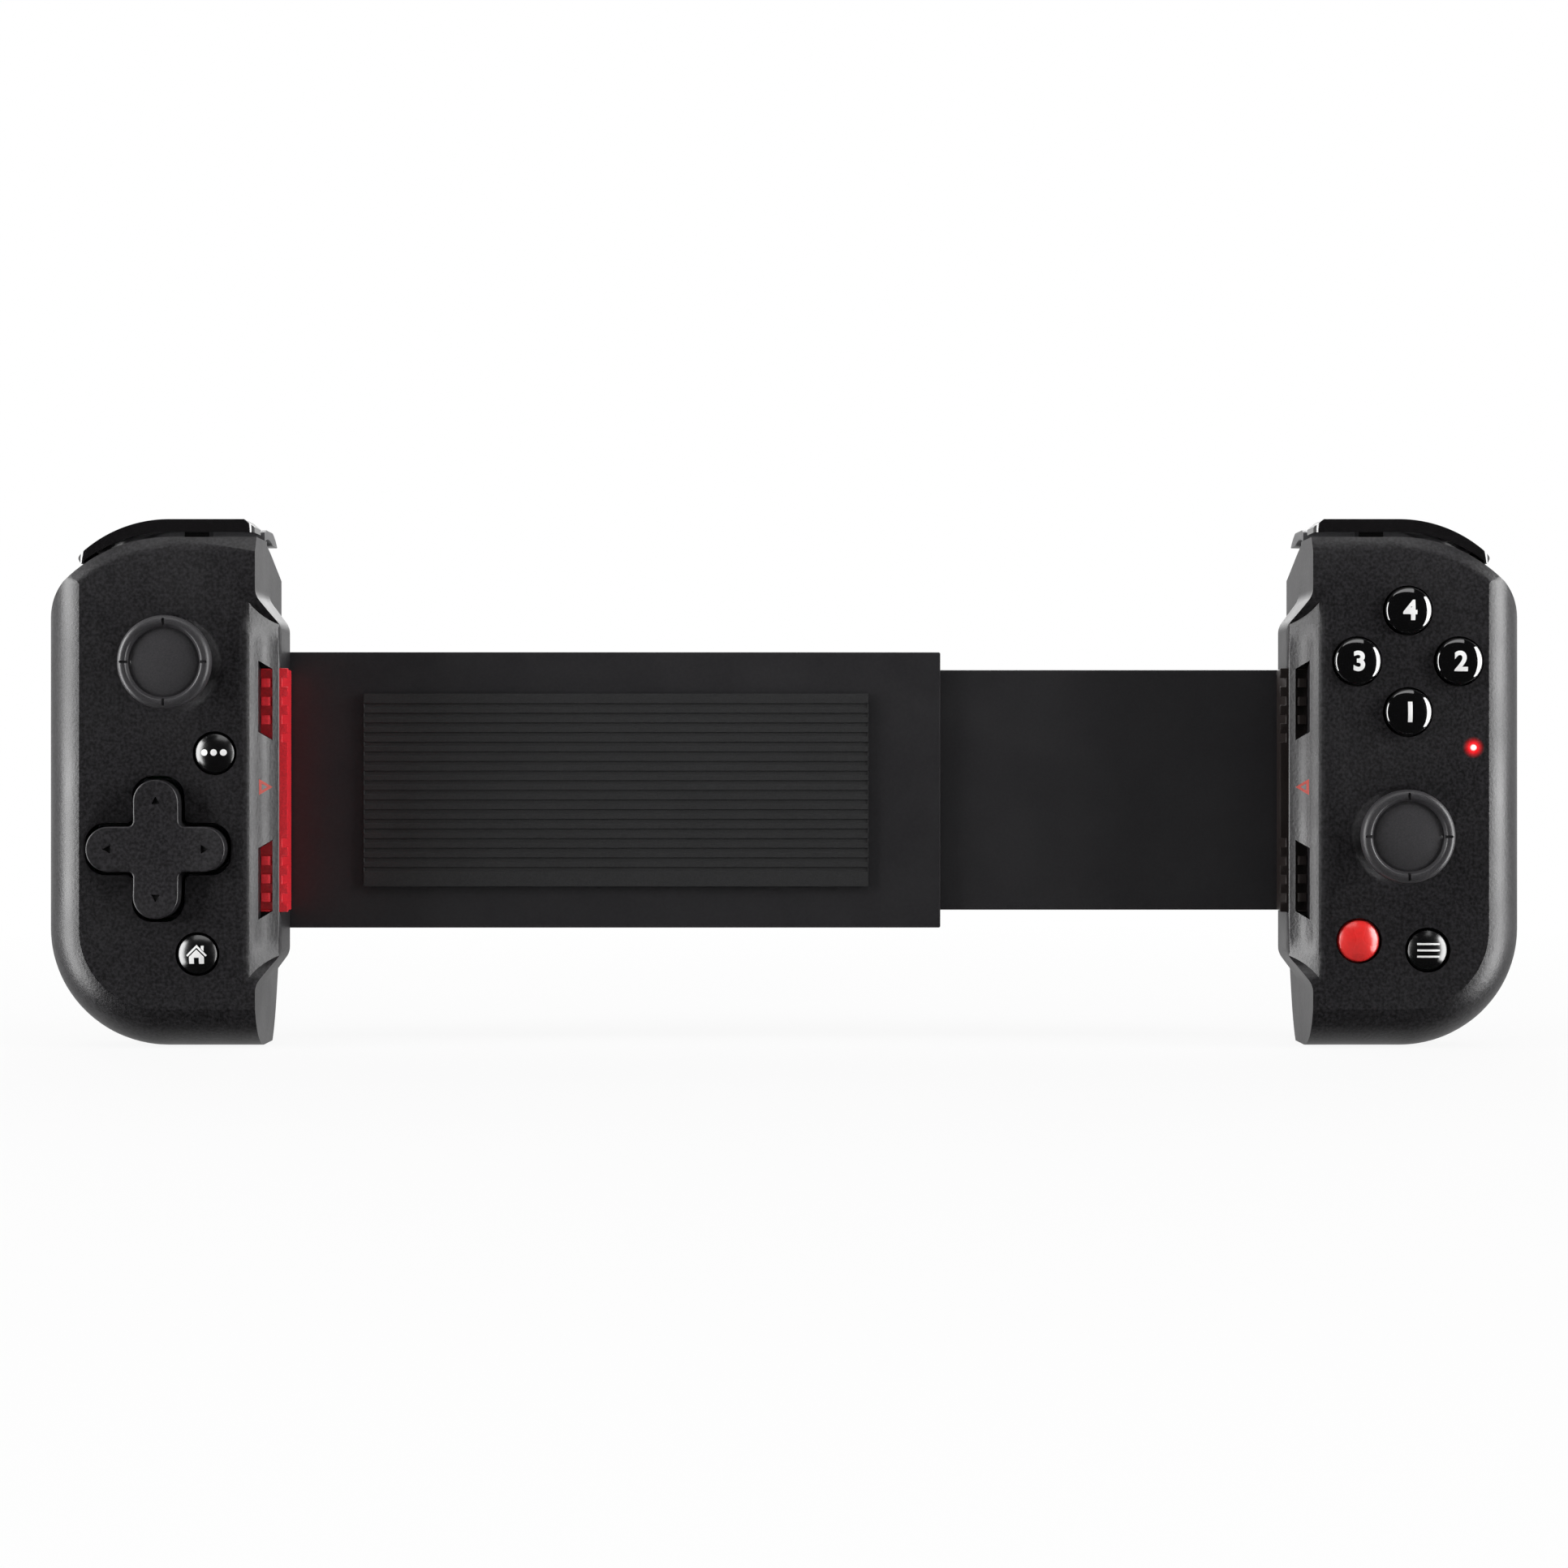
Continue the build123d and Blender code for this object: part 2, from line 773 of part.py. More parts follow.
# Bridge between the grips
def sleeve_halves():
    """Front and rear halves of the sleeve, fixed in the left grip and open towards the right."""
    x0 = -(flange_end + flange_thickness)
    x1 = sleeve_mouth_x
    outer = block(x0, x1, sleeve_front, sleeve_back, bay_z - sleeve_half, bay_z + sleeve_half)
    outer += block(
        -flange_end,
        -flange_u,
        sleeve_front - flange_lip,
        sleeve_back + flange_lip,
        bay_z - flange_half,
        bay_z + flange_half,
    )
    inner_front = sleeve_front + sleeve_wall
    inner_back = sleeve_back - sleeve_wall
    bore = block(x0 - overrun, x1 + overrun, inner_front, inner_back, bay_z - bore_half, bay_z + bore_half)
    wide = block(x0 - overrun, stop_step_x, inner_front, inner_back, bay_z - wide_half, bay_z + wide_half)
    sleeve = outer - bore - wide
    front = sleeve & block(-half_width, half_width, 0, bridge_depth, 0, grip_height)
    rear = sleeve & block(-half_width, half_width, bridge_depth, grip_depth, 0, grip_height)
    return front, rear


def tongue():
    """Flat tongue fixed in the right grip, with a groove for the cable and a stop at its tip."""
    d0 = bridge_depth - tongue_thickness / 2
    d1 = bridge_depth + tongue_thickness / 2
    blade = block(tongue_tip_x, flange_end, d0, d1, bay_z - tongue_half_height, bay_z + tongue_half_height)
    blade += block(tongue_tip_x, tongue_tip_x + stop_width, d0, d1, bay_z - stop_half, bay_z + stop_half)
    blade += block(
        flange_u,
        flange_end,
        sleeve_front - flange_lip,
        sleeve_back + flange_lip,
        bay_z - flange_half,
        bay_z + flange_half,
    )
    root_u = flange_u - wall - seat_gap
    root_low = bay_z - sleeve_half
    root_high = bay_z + sleeve_half
    blade += block(root_u, flange_u, sleeve_front, sleeve_back, root_low, root_high)
    groove_low = bay_z - tongue_groove_half
    groove_high = bay_z + tongue_groove_half
    groove_front = d1 - tongue_groove_depth
    groove = block(
        tongue_tip_x - overrun, flange_end + overrun, groove_front, d1, groove_low, groove_high
    )
    return blade - groove


def rest_pad():
    """Thin rubber pad on the sleeve's front, at the back of the bay."""
    x0 = -bay_half + rest_pad_margin
    x1 = sleeve_mouth_x - rest_pad_margin
    low = bay_z - rest_pad_half_height
    high = bay_z + rest_pad_half_height
    return block(x0, x1, rest_depth, sleeve_front, low, high)


def spring_place():
    """u, depth and lowest z of the return spring's drum."""
    z0 = bay_z - tongue_half_height
    return wall_u + drum_set_back, bridge_depth - drum_coil_radius, z0


def spring_drum():
    """Drum of the return spring with the coiled part of its band."""
    u, d, z0 = spring_place()
    z1 = z0 + band_spring_width
    drum = bolt_z(-u, d, drum_core_radius, z0, z1)
    lip = lug_thickness / 4
    drum += bolt_z(-u, d, drum_coil_radius - band_spring_thickness, z0 + lip, z1 - lip)
    return drum - bolt_z(-u, d, drum_pin_radius + running_gap, z0 - overrun, z1 + overrun)


def spring_band():
    """Straight stretch of the spring's steel band, from the drum to the tongue's tip."""
    u, d, z0 = spring_place()
    low = z0 + lug_thickness / 4
    high = z0 + band_spring_width - lug_thickness / 4
    front = bridge_depth - band_spring_thickness
    return block(-u, tongue_tip_x, front, bridge_depth, low, high)


def spring_pin():
    """Pin that the drum turns on."""
    u, d, z0 = spring_place()
    low = z0 - travel_spare - lug_thickness
    high = z0 + band_spring_width + travel_spare + lug_thickness
    return bolt_z(-u, d, drum_pin_radius, low, high)


def spring_lugs():
    """Lugs of the left rear shell that hold the drum's pin."""
    u, d, z0 = spring_place()
    z1 = z0 + band_spring_width
    half = drum_pin_radius * 2
    lugs = []
    for low in (z0 - travel_spare - lug_thickness, z1 + travel_spare):
        high = low + lug_thickness
        lug = block(-u - half, -u + half, d, grip_depth - wall / 2, low, high)
        lug += bolt_z(-u, d, half, low, high)
        lugs.append(lug - bolt_z(-u, d, drum_pin_radius, low - overrun, low + overrun))
    return lugs


def flat_cable():
    """Flat cable between the boards, lying in the tongue's groove and along the sleeve."""
    front = bridge_depth + tongue_thickness / 2 - tongue_groove_depth + travel_spare
    end = flange_end + flange_thickness * 2
    low = bay_z - flex_half_width
    high = bay_z + flex_half_width
    return block(-end, end, front, front + flex_thickness, low, high)


# Thumb sticks
def stick_pieces(share):
    """Housing, yoke, core, stem and cap of a thumb stick, keyed by name."""
    u, z = place(share)
    depth = stick_pivot_depth

    def cube(half_u, half_z, low, high):
        return block(u - half_u, u + half_u, depth - high, depth - low, z - half_z, z + half_z)

    floor_top = -housing_floor_drop
    inner_half = housing_half - housing_wall
    end = housing_half + overrun
    housing = cube(housing_half, housing_half, floor_top - housing_floor, housing_rise)
    housing -= cube(inner_half, inner_half, floor_top, housing_rise + overrun)
    housing -= bolt_u(depth, z, yoke_shaft_radius + running_gap, u - end, u + end)
    nub_top = floor_top + click_nub_rise
    housing += post(u, z, click_nub_radius, depth - nub_top, depth - floor_top)

    yoke = cube(yoke_half_u, yoke_half_z, -yoke_half_depth, yoke_half_depth)
    yoke -= cube(yoke_hole_half_u, yoke_hole_half_z, -yoke_half_depth - overrun, yoke_half_depth + overrun)
    for way in (-1, 1):
        ends = sorted((u + way * (yoke_half_u - seat_gap), u + way * yoke_shaft_end))
        yoke += bolt_u(depth, z, yoke_shaft_radius, *ends)
    yoke -= bolt_z(u, depth, core_shaft_radius + running_gap, z - housing_half, z + housing_half)

    core = cube(core_half_u, core_half_z, -core_half_depth, core_half_depth)
    core += bolt_z(u, depth, core_shaft_radius, z - core_shaft_end, z + core_shaft_end)
    reach = core_half_depth + overrun
    core -= post(u, z, stem_radius + running_gap, depth - reach, depth + reach)

    top = depth + stick_cap_rise
    roof = top - stick_cap_thickness
    socket = top - stick_cap_thickness / 2 - stick_disc_sink
    stem = post(u, z, stem_radius, depth - socket, depth + stem_low)

    angle = math.radians(stick_dome_angle)
    middle = math.radians(stick_dome_angle / 2)
    inner = stick_dome_radius - stick_dome_wall
    boss_h = math.sqrt(inner**2 - stick_boss_radius**2)
    neck_h = math.sqrt(stick_dome_radius**2 - stick_neck_radius**2)
    boss_angle = math.asin(stick_boss_radius / inner)
    neck_angle = math.asin(stick_neck_radius / stick_dome_radius)
    inner_mid = (angle + boss_angle) / 2
    outer_mid = (angle + neck_angle) / 2
    rim = stick_rim_round
    bore = stem_radius + running_gap

    def low(radius, height):
        return (radius, -height)

    edges = [
        Polyline(
            low(0, socket),
            low(bore, socket),
            low(bore, stick_boss_low),
            low(stick_boss_radius, stick_boss_low),
            low(stick_boss_radius, boss_h),
        ),
        ThreePointArc(
            low(stick_boss_radius, boss_h),
            low(inner * math.sin(inner_mid), inner * math.cos(inner_mid)),
            low(inner * math.sin(angle), inner * math.cos(angle)),
        ),
        Line(
            low(inner * math.sin(angle), inner * math.cos(angle)),
            low(stick_dome_radius * math.sin(angle), stick_dome_radius * math.cos(angle)),
        ),
        ThreePointArc(
            low(stick_dome_radius * math.sin(angle), stick_dome_radius * math.cos(angle)),
            low(stick_dome_radius * math.sin(outer_mid), stick_dome_radius * math.cos(outer_mid)),
            low(stick_neck_radius, neck_h),
        ),
        Polyline(
            low(stick_neck_radius, neck_h),
            low(stick_neck_radius, roof),
            low(stick_cap_radius - rim, roof),
            low(stick_cap_radius, roof + rim),
            low(stick_cap_radius, top - rim),
            low(stick_cap_radius - rim, top),
            low(stick_disc_radius + rim / 2, top),
            low(stick_disc_radius, top - stick_disc_sink),
            low(0, top - stick_disc_sink),
            low(0, socket),
        ),
    ]
    cap = turned(make_face(Curve() + edges), u, depth, z)
    return {"housing": housing, "yoke": yoke, "core": core, "stem": stem, "cap": cap}


# Direction pad
def cross(grow, u, z, d0, d1):
    """The pad's cross, or its opening when it is grown; both are rounded by the same radii."""
    span = 2 * (d_pad_half_span + grow)
    width = d_pad_arm_width + 2 * grow
    long_u = RectangleRounded(span, width, d_pad_end_radius)
    long_z = RectangleRounded(width, span, d_pad_end_radius)
    form = long_u + long_z
    corner = width / math.sqrt(2)
    inner = form.vertices().filter_by(lambda v: abs(math.hypot(v.X, v.Y) - corner) < running_gap)
    form = fillet(inner, d_pad_corner_radius)
    return slab(Pos(u, z) * form, d0, d1)


def dish_form(u, z, grow):
    """The shallow round dish in the deck, as a slice of a ball."""
    ball = (dish_radius**2 + dish_depth**2) / (2 * dish_depth)
    lens = Pos(u, deck_y + dish_depth + grow - ball, z) * Sphere(ball)
    return lens & post(u, z, dish_radius + grow, -overrun, dish_depth + grow)


def d_pad_pieces():
    """Cross, pivot and seat of the direction pad, keyed by name."""
    u, z = place(d_pad_share)
    pad = cross(0, u, z, -d_pad_rise, d_pad_flange_depth)
    front = pad.faces().sort_by(Axis.Y)[0]
    pad = fillet(front.edges(), d_pad_edge)
    flange_back = d_pad_flange_depth + d_pad_flange
    pad += post(u, z, d_pad_flange_radius, d_pad_flange_depth, flange_back)
    hub_back = flange_back + d_pad_hub
    pad += post(u, z, d_pad_hub_radius, flange_back, hub_back)
    for step in range(4):
        angle = math.radians(step * 90)
        leg_u = u + d_pad_leg_reach * math.cos(angle)
        leg_z = z + d_pad_leg_reach * math.sin(angle)
        pad += post(leg_u, leg_z, d_pad_leg_radius, flange_back, flange_back + d_pad_leg)
    ridge = pivot_ridge_radius
    reach = d_pad_hub_radius + overrun
    pad -= bolt_z(u, hub_back, ridge + running_gap, z - reach, z + reach)

    plate_front = hub_back + pivot_gap
    plate_back = plate_front + pivot_plate
    seat_front = plate_back + pivot_gap
    half = pivot_half
    pivot = block(u - half, u + half, plate_front, plate_back, z - half, z + half)
    pivot += bolt_z(u, hub_back, ridge, z - half, z + half)
    pivot += bolt_u(seat_front, z, ridge, u - half, u + half)
    reach = half + overrun
    seat = block(u - half - ridge, u + half + ridge, seat_front, board_depth, z - half, z + half)
    seat -= bolt_u(seat_front, z, ridge + running_gap, u - reach, u + reach)
    return {"pad": pad, "pivot": pivot, "seat": seat}


# Push buttons
def small_button(share, radius):
    """A round button with a flange under the deck and a stem down to its dome."""
    u, z = place(share)
    cap = post(u, z, radius, -small_button_rise, deck_under + travel_spare)
    front = cap.faces().sort_by(Axis.Y)[0]
    cap = fillet(front.edges(), small_button_edge)
    flange_back = deck_under + travel_spare + button_flange
    cap += post(u, z, radius + button_flange_lip, deck_under + travel_spare, flange_back)
    stem_back = dome_depth - button_travel - travel_spare / 3
    return cap + post(u, z, button_stem_radius, flange_back, stem_back)


def flange_room(share, radius):
    """The room behind the deck in which a round button's flange moves."""
    u, z = place(share)
    back = deck_under + button_flange + button_travel + 2 * travel_spare
    return post(u, z, radius + button_flange_lip + button_gap, deck_under, back)


def face_button_places():
    """u and z of the four face buttons: low, outer, inner and high."""
    u, z = place(diamond_share)
    s = face_button_spacing
    return [(u, z - s), (u + s, z), (u - s, z), (u, z + s)]


def face_button(u, z):
    """A domed face button."""
    ball = (face_button_radius**2 + face_button_dome**2) / (2 * face_button_dome)
    body = post(u, z, face_button_radius, -face_button_rise - face_button_dome, deck_under + travel_spare)
    dome = Pos(u, deck_y - face_button_rise - face_button_dome + ball, z) * Sphere(ball)
    body = body & dome
    flange_back = deck_under + travel_spare + button_flange
    body += post(u, z, face_button_radius + button_flange_lip, deck_under + travel_spare, flange_back)
    stem_back = dome_depth - face_button_travel - travel_spare / 3
    return body + post(u, z, button_stem_radius, flange_back, stem_back)


def led_lens():
    """Small light guide, flush with the deck."""
    u, z = place(led_share)
    lens = post(u, z, led_radius, 0, deck_under)
    return lens + post(u, z, led_radius + led_flange, deck_under, deck_under + led_flange)


# Boards
def board(stick_share):
    """Key board behind the deck, cut out round the stick's housing and the screw bosses."""
    inset = wall + board_gap
    plate = slab(outline(inset, pocket_u0 + board_gap), board_depth, board_back)
    u, z = place(stick_share)
    half = housing_half + board_gap / 2
    plate -= block(u - half, u + half, 0, grip_depth, z - half, z + half)
    for share in screw_shares:
        bu, bz = place(share)
        plate -= post(bu, bz, boss_radius + board_gap / 2, 0, grip_depth)
    pin_u, pin_z = bumper_pin_place()
    plate -= post(pin_u, pin_z, bumper_eye_radius + board_gap, 0, grip_depth)
    return plate & grip_form(inset, pocket_u0 + board_gap)


def stick_board(stick_share):
    """Small board that the stick's housing stands on."""
    u, z = place(stick_share)
    half = housing_half + board_gap
    d0 = stick_pivot_depth + housing_floor_drop + housing_floor
    return block(u - half, u + half, d0, d0 + board_thickness, z - half, z + half)


def membrane(places, cut):
    """Rubber sheet with a dome under each place."""
    us = [p[0] for p in places]
    zs = [p[1] for p in places]
    margin = dome_radius + membrane_margin
    u0 = min(us) - margin
    u1 = max(us) + margin
    z0 = min(zs) - margin
    z1 = max(zs) + margin
    sheet = block(u0, u1, membrane_depth, board_depth, z0, z1)
    if cut is not None:
        sheet -= cut
    for u, z in places:
        sheet += post(u, z, dome_radius, dome_depth, membrane_depth)
    return sheet


# Bumpers
def bumper_arc(top, end_rise):
    """An arc that runs level off the bumper's straight part and sinks towards the brow at its end."""
    turn = math.radians(90 - bumper_sweep)
    reach = brow_radius + end_rise
    end = (brow_u + reach * math.cos(turn), brow_z + reach * math.sin(turn))
    return TangentArc((brow_u, top), end, tangent=(1, 0))


def bumper():
    """Bumper strip over the brow, with its switch stem and its hinge arm."""
    start_u = wall_u + bumper_inner_end
    low_arc = bumper_arc(bumper_low, bumper_end_gap)
    high_arc = bumper_arc(bumper_high, bumper_end_gap + bumper_end_thickness)
    edges = [
        Polyline(
            (brow_u, bumper_low),
            (start_u, bumper_low),
            (start_u, bumper_low + bumper_end_step),
            (start_u + bumper_end_slant, bumper_high),
            (brow_u, bumper_high),
        ),
        high_arc,
        Line(high_arc @ 1, low_arc @ 1),
        low_arc,
    ]
    end_u = (high_arc @ 1).X
    middle = Pos((start_u + end_u) / 2, (bumper_front + bumper_back) / 2)
    plan = middle * RectangleRounded(end_u - start_u, bumper_back - bumper_front, bumper_end_round)
    strip = slab(make_face(Curve() + edges), bumper_front, bumper_back)
    strip = strip & column(plan, 0, bumper_high)
    stem_u = wall_u + bumper_stem_start
    arm_back = bumper_arm_front + bumper_arm_depth
    stem_low = bumper_low - bumper_stem_drop
    strip += block(stem_u, stem_u + bumper_stem_width, bumper_arm_front, arm_back, stem_low, bumper_low)
    pin_u, pin_z = bumper_pin_place()
    half_turn = math.degrees(bumper_arm_width / 2 / brow_radius)
    arm_low = brow_radius - bumper_pin_inset
    arm_start = bumper_pin_sweep - half_turn
    arm_end = bumper_pin_sweep + half_turn
    arm_high = brow_radius + bumper_end_gap + bumper_end_thickness / 2
    strip += brow_sector(arm_low, arm_high, arm_start, arm_end, bumper_arm_front, arm_back)
    strip += post(pin_u, pin_z, bumper_eye_radius, bumper_arm_front, arm_back)
    return strip - post(pin_u, pin_z, bumper_pin_radius + running_gap, 0, grip_depth)


def bumper_pin():
    """Steel pin of the bumper, pressed into the front shell's boss."""
    pin_u, pin_z = bumper_pin_place()
    back = bumper_arm_front + bumper_arm_depth + travel_spare
    return post(pin_u, pin_z, bumper_pin_radius, wall, back)


def bumper_switch(grow):
    """Switch on the key board under the bumper's stem, or the room it takes when it is grown."""
    stem_u = wall_u + bumper_stem_start
    stem_end = stem_u + bumper_stem_width
    high = bumper_low - bumper_stem_drop - bumper_switch_gap
    low = high - bumper_switch_height
    front = bumper_arm_front + travel_spare
    return block(stem_u - grow, stem_end + grow, front, board_depth, low - grow, high)


# Triggers
def trigger():
    """Trigger that wraps over the back of the brow and hangs on its pin."""
    pin_z = trigger_pin_z
    high = grip_height + trigger_rise
    t = trigger_thickness
    tail_z = grip_height - trigger_tail_drop
    back = grip_depth + trigger_back_reach
    middle = (trigger_front + back) / 2
    outer_shoulder = (grip_depth + trigger_back_reach / 3, grip_height - trigger_shoulder_drop)
    outer_top = ThreePointArc((trigger_front, high - t / 4), (middle, high), outer_shoulder)
    outer_back = Line(outer_shoulder, (back, tail_z))
    inner_shoulder = (outer_shoulder[0] - t, outer_shoulder[1] - t / 2)
    inner_top = ThreePointArc((trigger_front, high - t), (middle, high - t), inner_shoulder)
    edges = [
        outer_top,
        outer_back,
        Line((back, tail_z), (back - t, tail_z)),
        Line((back - t, tail_z), inner_shoulder),
        inner_top,
        Line((trigger_front, high - t), (trigger_front, high - t / 4)),
    ]
    skin = bar(make_face(Wire(edges)), trigger_u0, trigger_u1)
    reach = brow_radius + trigger_rise
    limit_edges = [
        Line((trigger_u0, brow_z), (trigger_u0, brow_z + reach)),
        Line((trigger_u0, brow_z + reach), (brow_u, brow_z + reach)),
        CenterArc((brow_u, brow_z), reach, 0, 90),
        Line((brow_u + reach, brow_z), (trigger_u0, brow_z)),
    ]
    limit = slab(make_face(Wire(limit_edges)), 0, grip_depth + overrun)
    skin = skin & limit
    tab_low = grip_height + trigger_rise - t
    side_u = pocket_u0 + pocket_side_gap
    skin = skin - block(trigger_u0 - overrun, side_u, 0, grip_depth + overrun, 0, tab_low)
    eye_u0 = pocket_u0 + trigger_eye_margin
    eye_u1 = pocket_u1 - trigger_eye_margin
    skin += bolt_u(trigger_pin_depth, pin_z, trigger_eye_radius, eye_u0, eye_u1)
    neck_front = trigger_pin_depth - t / 2
    neck_back = trigger_pin_depth + t / 2
    skin += block(eye_u0, eye_u1, neck_front, neck_back, pin_z, high - t / 2) & limit
    return skin - bolt_u(trigger_pin_depth, pin_z, trigger_pin_radius + running_gap, 0, half_width)


def trigger_pin():
    """Steel pin of the trigger, between the two lugs."""
    u0 = wall_u + wall / 2
    u1 = pocket_u1 + wall / 2
    return bolt_u(trigger_pin_depth, trigger_pin_z, trigger_pin_radius, u0, u1)


def trigger_leaf():
    """Leaf spring between the pocket's floor and the trigger."""
    u0 = (pocket_u0 + pocket_u1 - leaf_width) / 2
    floor = grip_height - pocket_drop + seat_gap
    t = leaf_thickness
    tip_z = grip_height + trigger_rise - trigger_thickness - travel_spare
    tip_depth = (trigger_front + grip_depth + trigger_back_reach) / 2
    points = [
        (trigger_pin_depth, floor),
        (pocket_bend, floor),
        (tip_depth, tip_z - t),
        (tip_depth, tip_z),
        (pocket_bend - t / 2, floor + t),
        (trigger_pin_depth, floor + t),
    ]
    return bar(polygon(points), u0, u0 + leaf_width)


# Charging port and battery
def port_u():
    """Middle of the charging port."""
    return wall_u + port_share * grip_width


def port_opening():
    """Recess in the foot of the right grip and the opening for the port."""
    u = port_u()
    half_w = port_recess_width / 2
    half_t = port_recess_depth / 2
    recess = block(u - half_w, u + half_w, port_depth - half_t, port_depth + half_t, -overrun, port_sink)
    mouth_w = port_width / 2 + seat_gap
    mouth_t = port_thickness / 2 + seat_gap
    mouth_front = port_depth - mouth_t
    mouth_back = port_depth + mouth_t
    return recess + block(u - mouth_w, u + mouth_w, mouth_front, mouth_back, -overrun, wall + overrun)


def charging_port():
    """Metal shell of the port with its contact tongue."""
    u = port_u()
    round_end = port_thickness / 2 - seat_gap
    inner_width = port_width - 2 * port_wall
    inner_thickness = port_thickness - 2 * port_wall
    face = RectangleRounded(port_width, port_thickness, round_end)
    hollow = RectangleRounded(inner_width, inner_thickness, round_end - port_wall)
    base = Plane(origin=(u, deck_y + port_depth, port_sink), x_dir=(1, 0, 0), z_dir=(0, 0, 1))
    shell = extrude(base * face, port_length)
    inside = extrude(base * hollow, port_length - port_wall)
    half = port_width / 3
    front = port_depth - port_tongue / 2
    back = port_depth + port_tongue / 2
    high = port_sink + port_length
    return shell - inside + block(u - half, u + half, front, back, port_sink + port_tongue, high)


def charging_board():
    """Small board behind the port."""
    u = port_u()
    front = port_depth + port_thickness / 2
    low = port_sink + wall + seat_gap
    high = port_sink + port_length * 2
    return block(u - port_width / 3, u + port_width, front, front + board_thickness, low, high)


def battery():
    """Pouch cell that lies against the right rear shell."""
    u0 = flange_end + flange_thickness + battery_width / 8
    d1 = grip_depth - wall - seat_gap
    low = foot_rise_height + wall + battery_foot_gap
    high = grip_height - pocket_edge_drop - wall - battery_top_gap
    cell = block(u0, u0 + battery_width, d1 - battery_thickness, d1, low, high)
    return fillet(cell.edges().filter_by(Axis.Z), battery_thickness / 4)


def write(name, pieces):
    """Write one sub-part, a solid or a group of separate solids."""
    solids = []
    for piece in pieces:
        solids.extend(piece.solids())
    export_step(Compound(children=solids), os.path.join("parts", name + ".step"))


# Openings in the decks
d_pad_u, d_pad_z = place(d_pad_share)
cross_hole = cross(d_pad_gap, d_pad_u, d_pad_z, 0, wall + overrun)
left_holes = [
    stick_well(left_stick_share),
    hole(dots_share, small_button_radius + button_gap, wall + overrun),
    hole(home_share, small_button_radius + button_gap, wall + overrun),
]
right_holes = [
    stick_well(right_stick_share),
    hole(red_share, red_button_radius + button_gap, wall + overrun),
    hole(menu_share, menu_button_radius + button_gap, wall + overrun),
    hole(led_share, led_radius + running_gap, wall + overrun),
    port_opening(),
]
for face_u, face_z in face_button_places():
    right_holes.append(post(face_u, face_z, face_button_radius + button_gap, -overrun, wall + overrun))

# Left grip
dish_back = post(d_pad_u, d_pad_z, dish_radius + dish_rib, wall / 2, dish_depth + dish_wall)
for button_share in (dots_share, home_share):
    dish_back -= flange_room(button_share, small_button_radius)
left_shell = front_shell(left_holes) + dish_back - dish_form(d_pad_u, d_pad_z, 0) - cross_hole
write("left_front_shell", [mirrored(left_shell)])
left_rear = mirrored(rear_shell())
for lug in spring_lugs():
    left_rear += lug
write("left_rear_shell", [left_rear])
write("left_phone_pad", [mirrored(phone_pad())])
write("left_shell_screws", [mirrored(screw) for screw in screws()])

stick = stick_pieces(left_stick_share)
write("left_stick_housing", [mirrored(stick["housing"])])
write("left_stick_yoke", [mirrored(stick["yoke"])])
write("left_stick_core", [mirrored(stick["core"])])
write("left_stick_stem", [mirrored(stick["stem"])])
write("left_stick_cap", [mirrored(stick["cap"])])

pad = d_pad_pieces()
write("d_pad", [mirrored(pad["pad"])])
write("d_pad_pivot", [mirrored(pad["pivot"])])
write("d_pad_seat", [mirrored(pad["seat"])])
write("dots_button", [mirrored(small_button(dots_share, small_button_radius))])
write("home_button", [mirrored(small_button(home_share, small_button_radius))])
write("left_key_board", [mirrored(board(left_stick_share))])
write("left_stick_board", [mirrored(stick_board(left_stick_share))])
pad_domes = [
    (d_pad_u + d_pad_leg_reach, d_pad_z),
    (d_pad_u - d_pad_leg_reach, d_pad_z),
    (d_pad_u, d_pad_z + d_pad_leg_reach),
    (d_pad_u, d_pad_z - d_pad_leg_reach),
]
cut_half_u = pivot_half + 2 * pivot_ridge_radius
cut_half_z = pivot_half + pivot_ridge_radius
seat_cut = block(
    d_pad_u - cut_half_u, d_pad_u + cut_half_u, 0, grip_depth, d_pad_z - cut_half_z, d_pad_z + cut_half_z
)
write(
    "left_membranes",
    [
        mirrored(membrane(pad_domes, seat_cut)),
        mirrored(membrane([place(dots_share)], None)),
        mirrored(membrane([place(home_share)], None)),
    ],
)

# Right grip
write("right_front_shell", [front_shell(right_holes)])
write("right_rear_shell", [rear_shell()])
write("right_phone_pad", [phone_pad()])
write("right_shell_screws", screws())
stick = stick_pieces(right_stick_share)
for piece_name in ("housing", "yoke", "core", "stem", "cap"):
    write("right_stick_" + piece_name, [stick[piece_name]])
for number, (face_u, face_z) in enumerate(face_button_places(), start=1):
    write(f"face_button_{number}", [face_button(face_u, face_z)])
write("red_button", [small_button(red_share, red_button_radius)])
write("menu_button", [small_button(menu_share, menu_button_radius)])
write("status_light", [led_lens()])
write("right_key_board", [board(right_stick_share)])
write("right_stick_board", [stick_board(right_stick_share)])
write(
    "right_membranes",
    [
        membrane(face_button_places(), bumper_switch(seat_gap)),
        membrane([place(red_share)], None),
        membrane([place(menu_share)], None),
    ],
)
write("charging_port", [charging_port()])
write("charging_board", [charging_board()])
write("battery", [battery()])

# Bumpers and triggers on both grips
for side, put in (("left", mirrored), ("right", lambda shape: shape)):
    write(side + "_bumper", [put(bumper())])
    write(side + "_bumper_pin", [put(bumper_pin())])
    write(side + "_bumper_switch", [put(bumper_switch(0))])
    write(side + "_trigger", [put(trigger())])
    write(side + "_trigger_pin", [put(trigger_pin())])
    write(side + "_trigger_leaf", [put(trigger_leaf())])

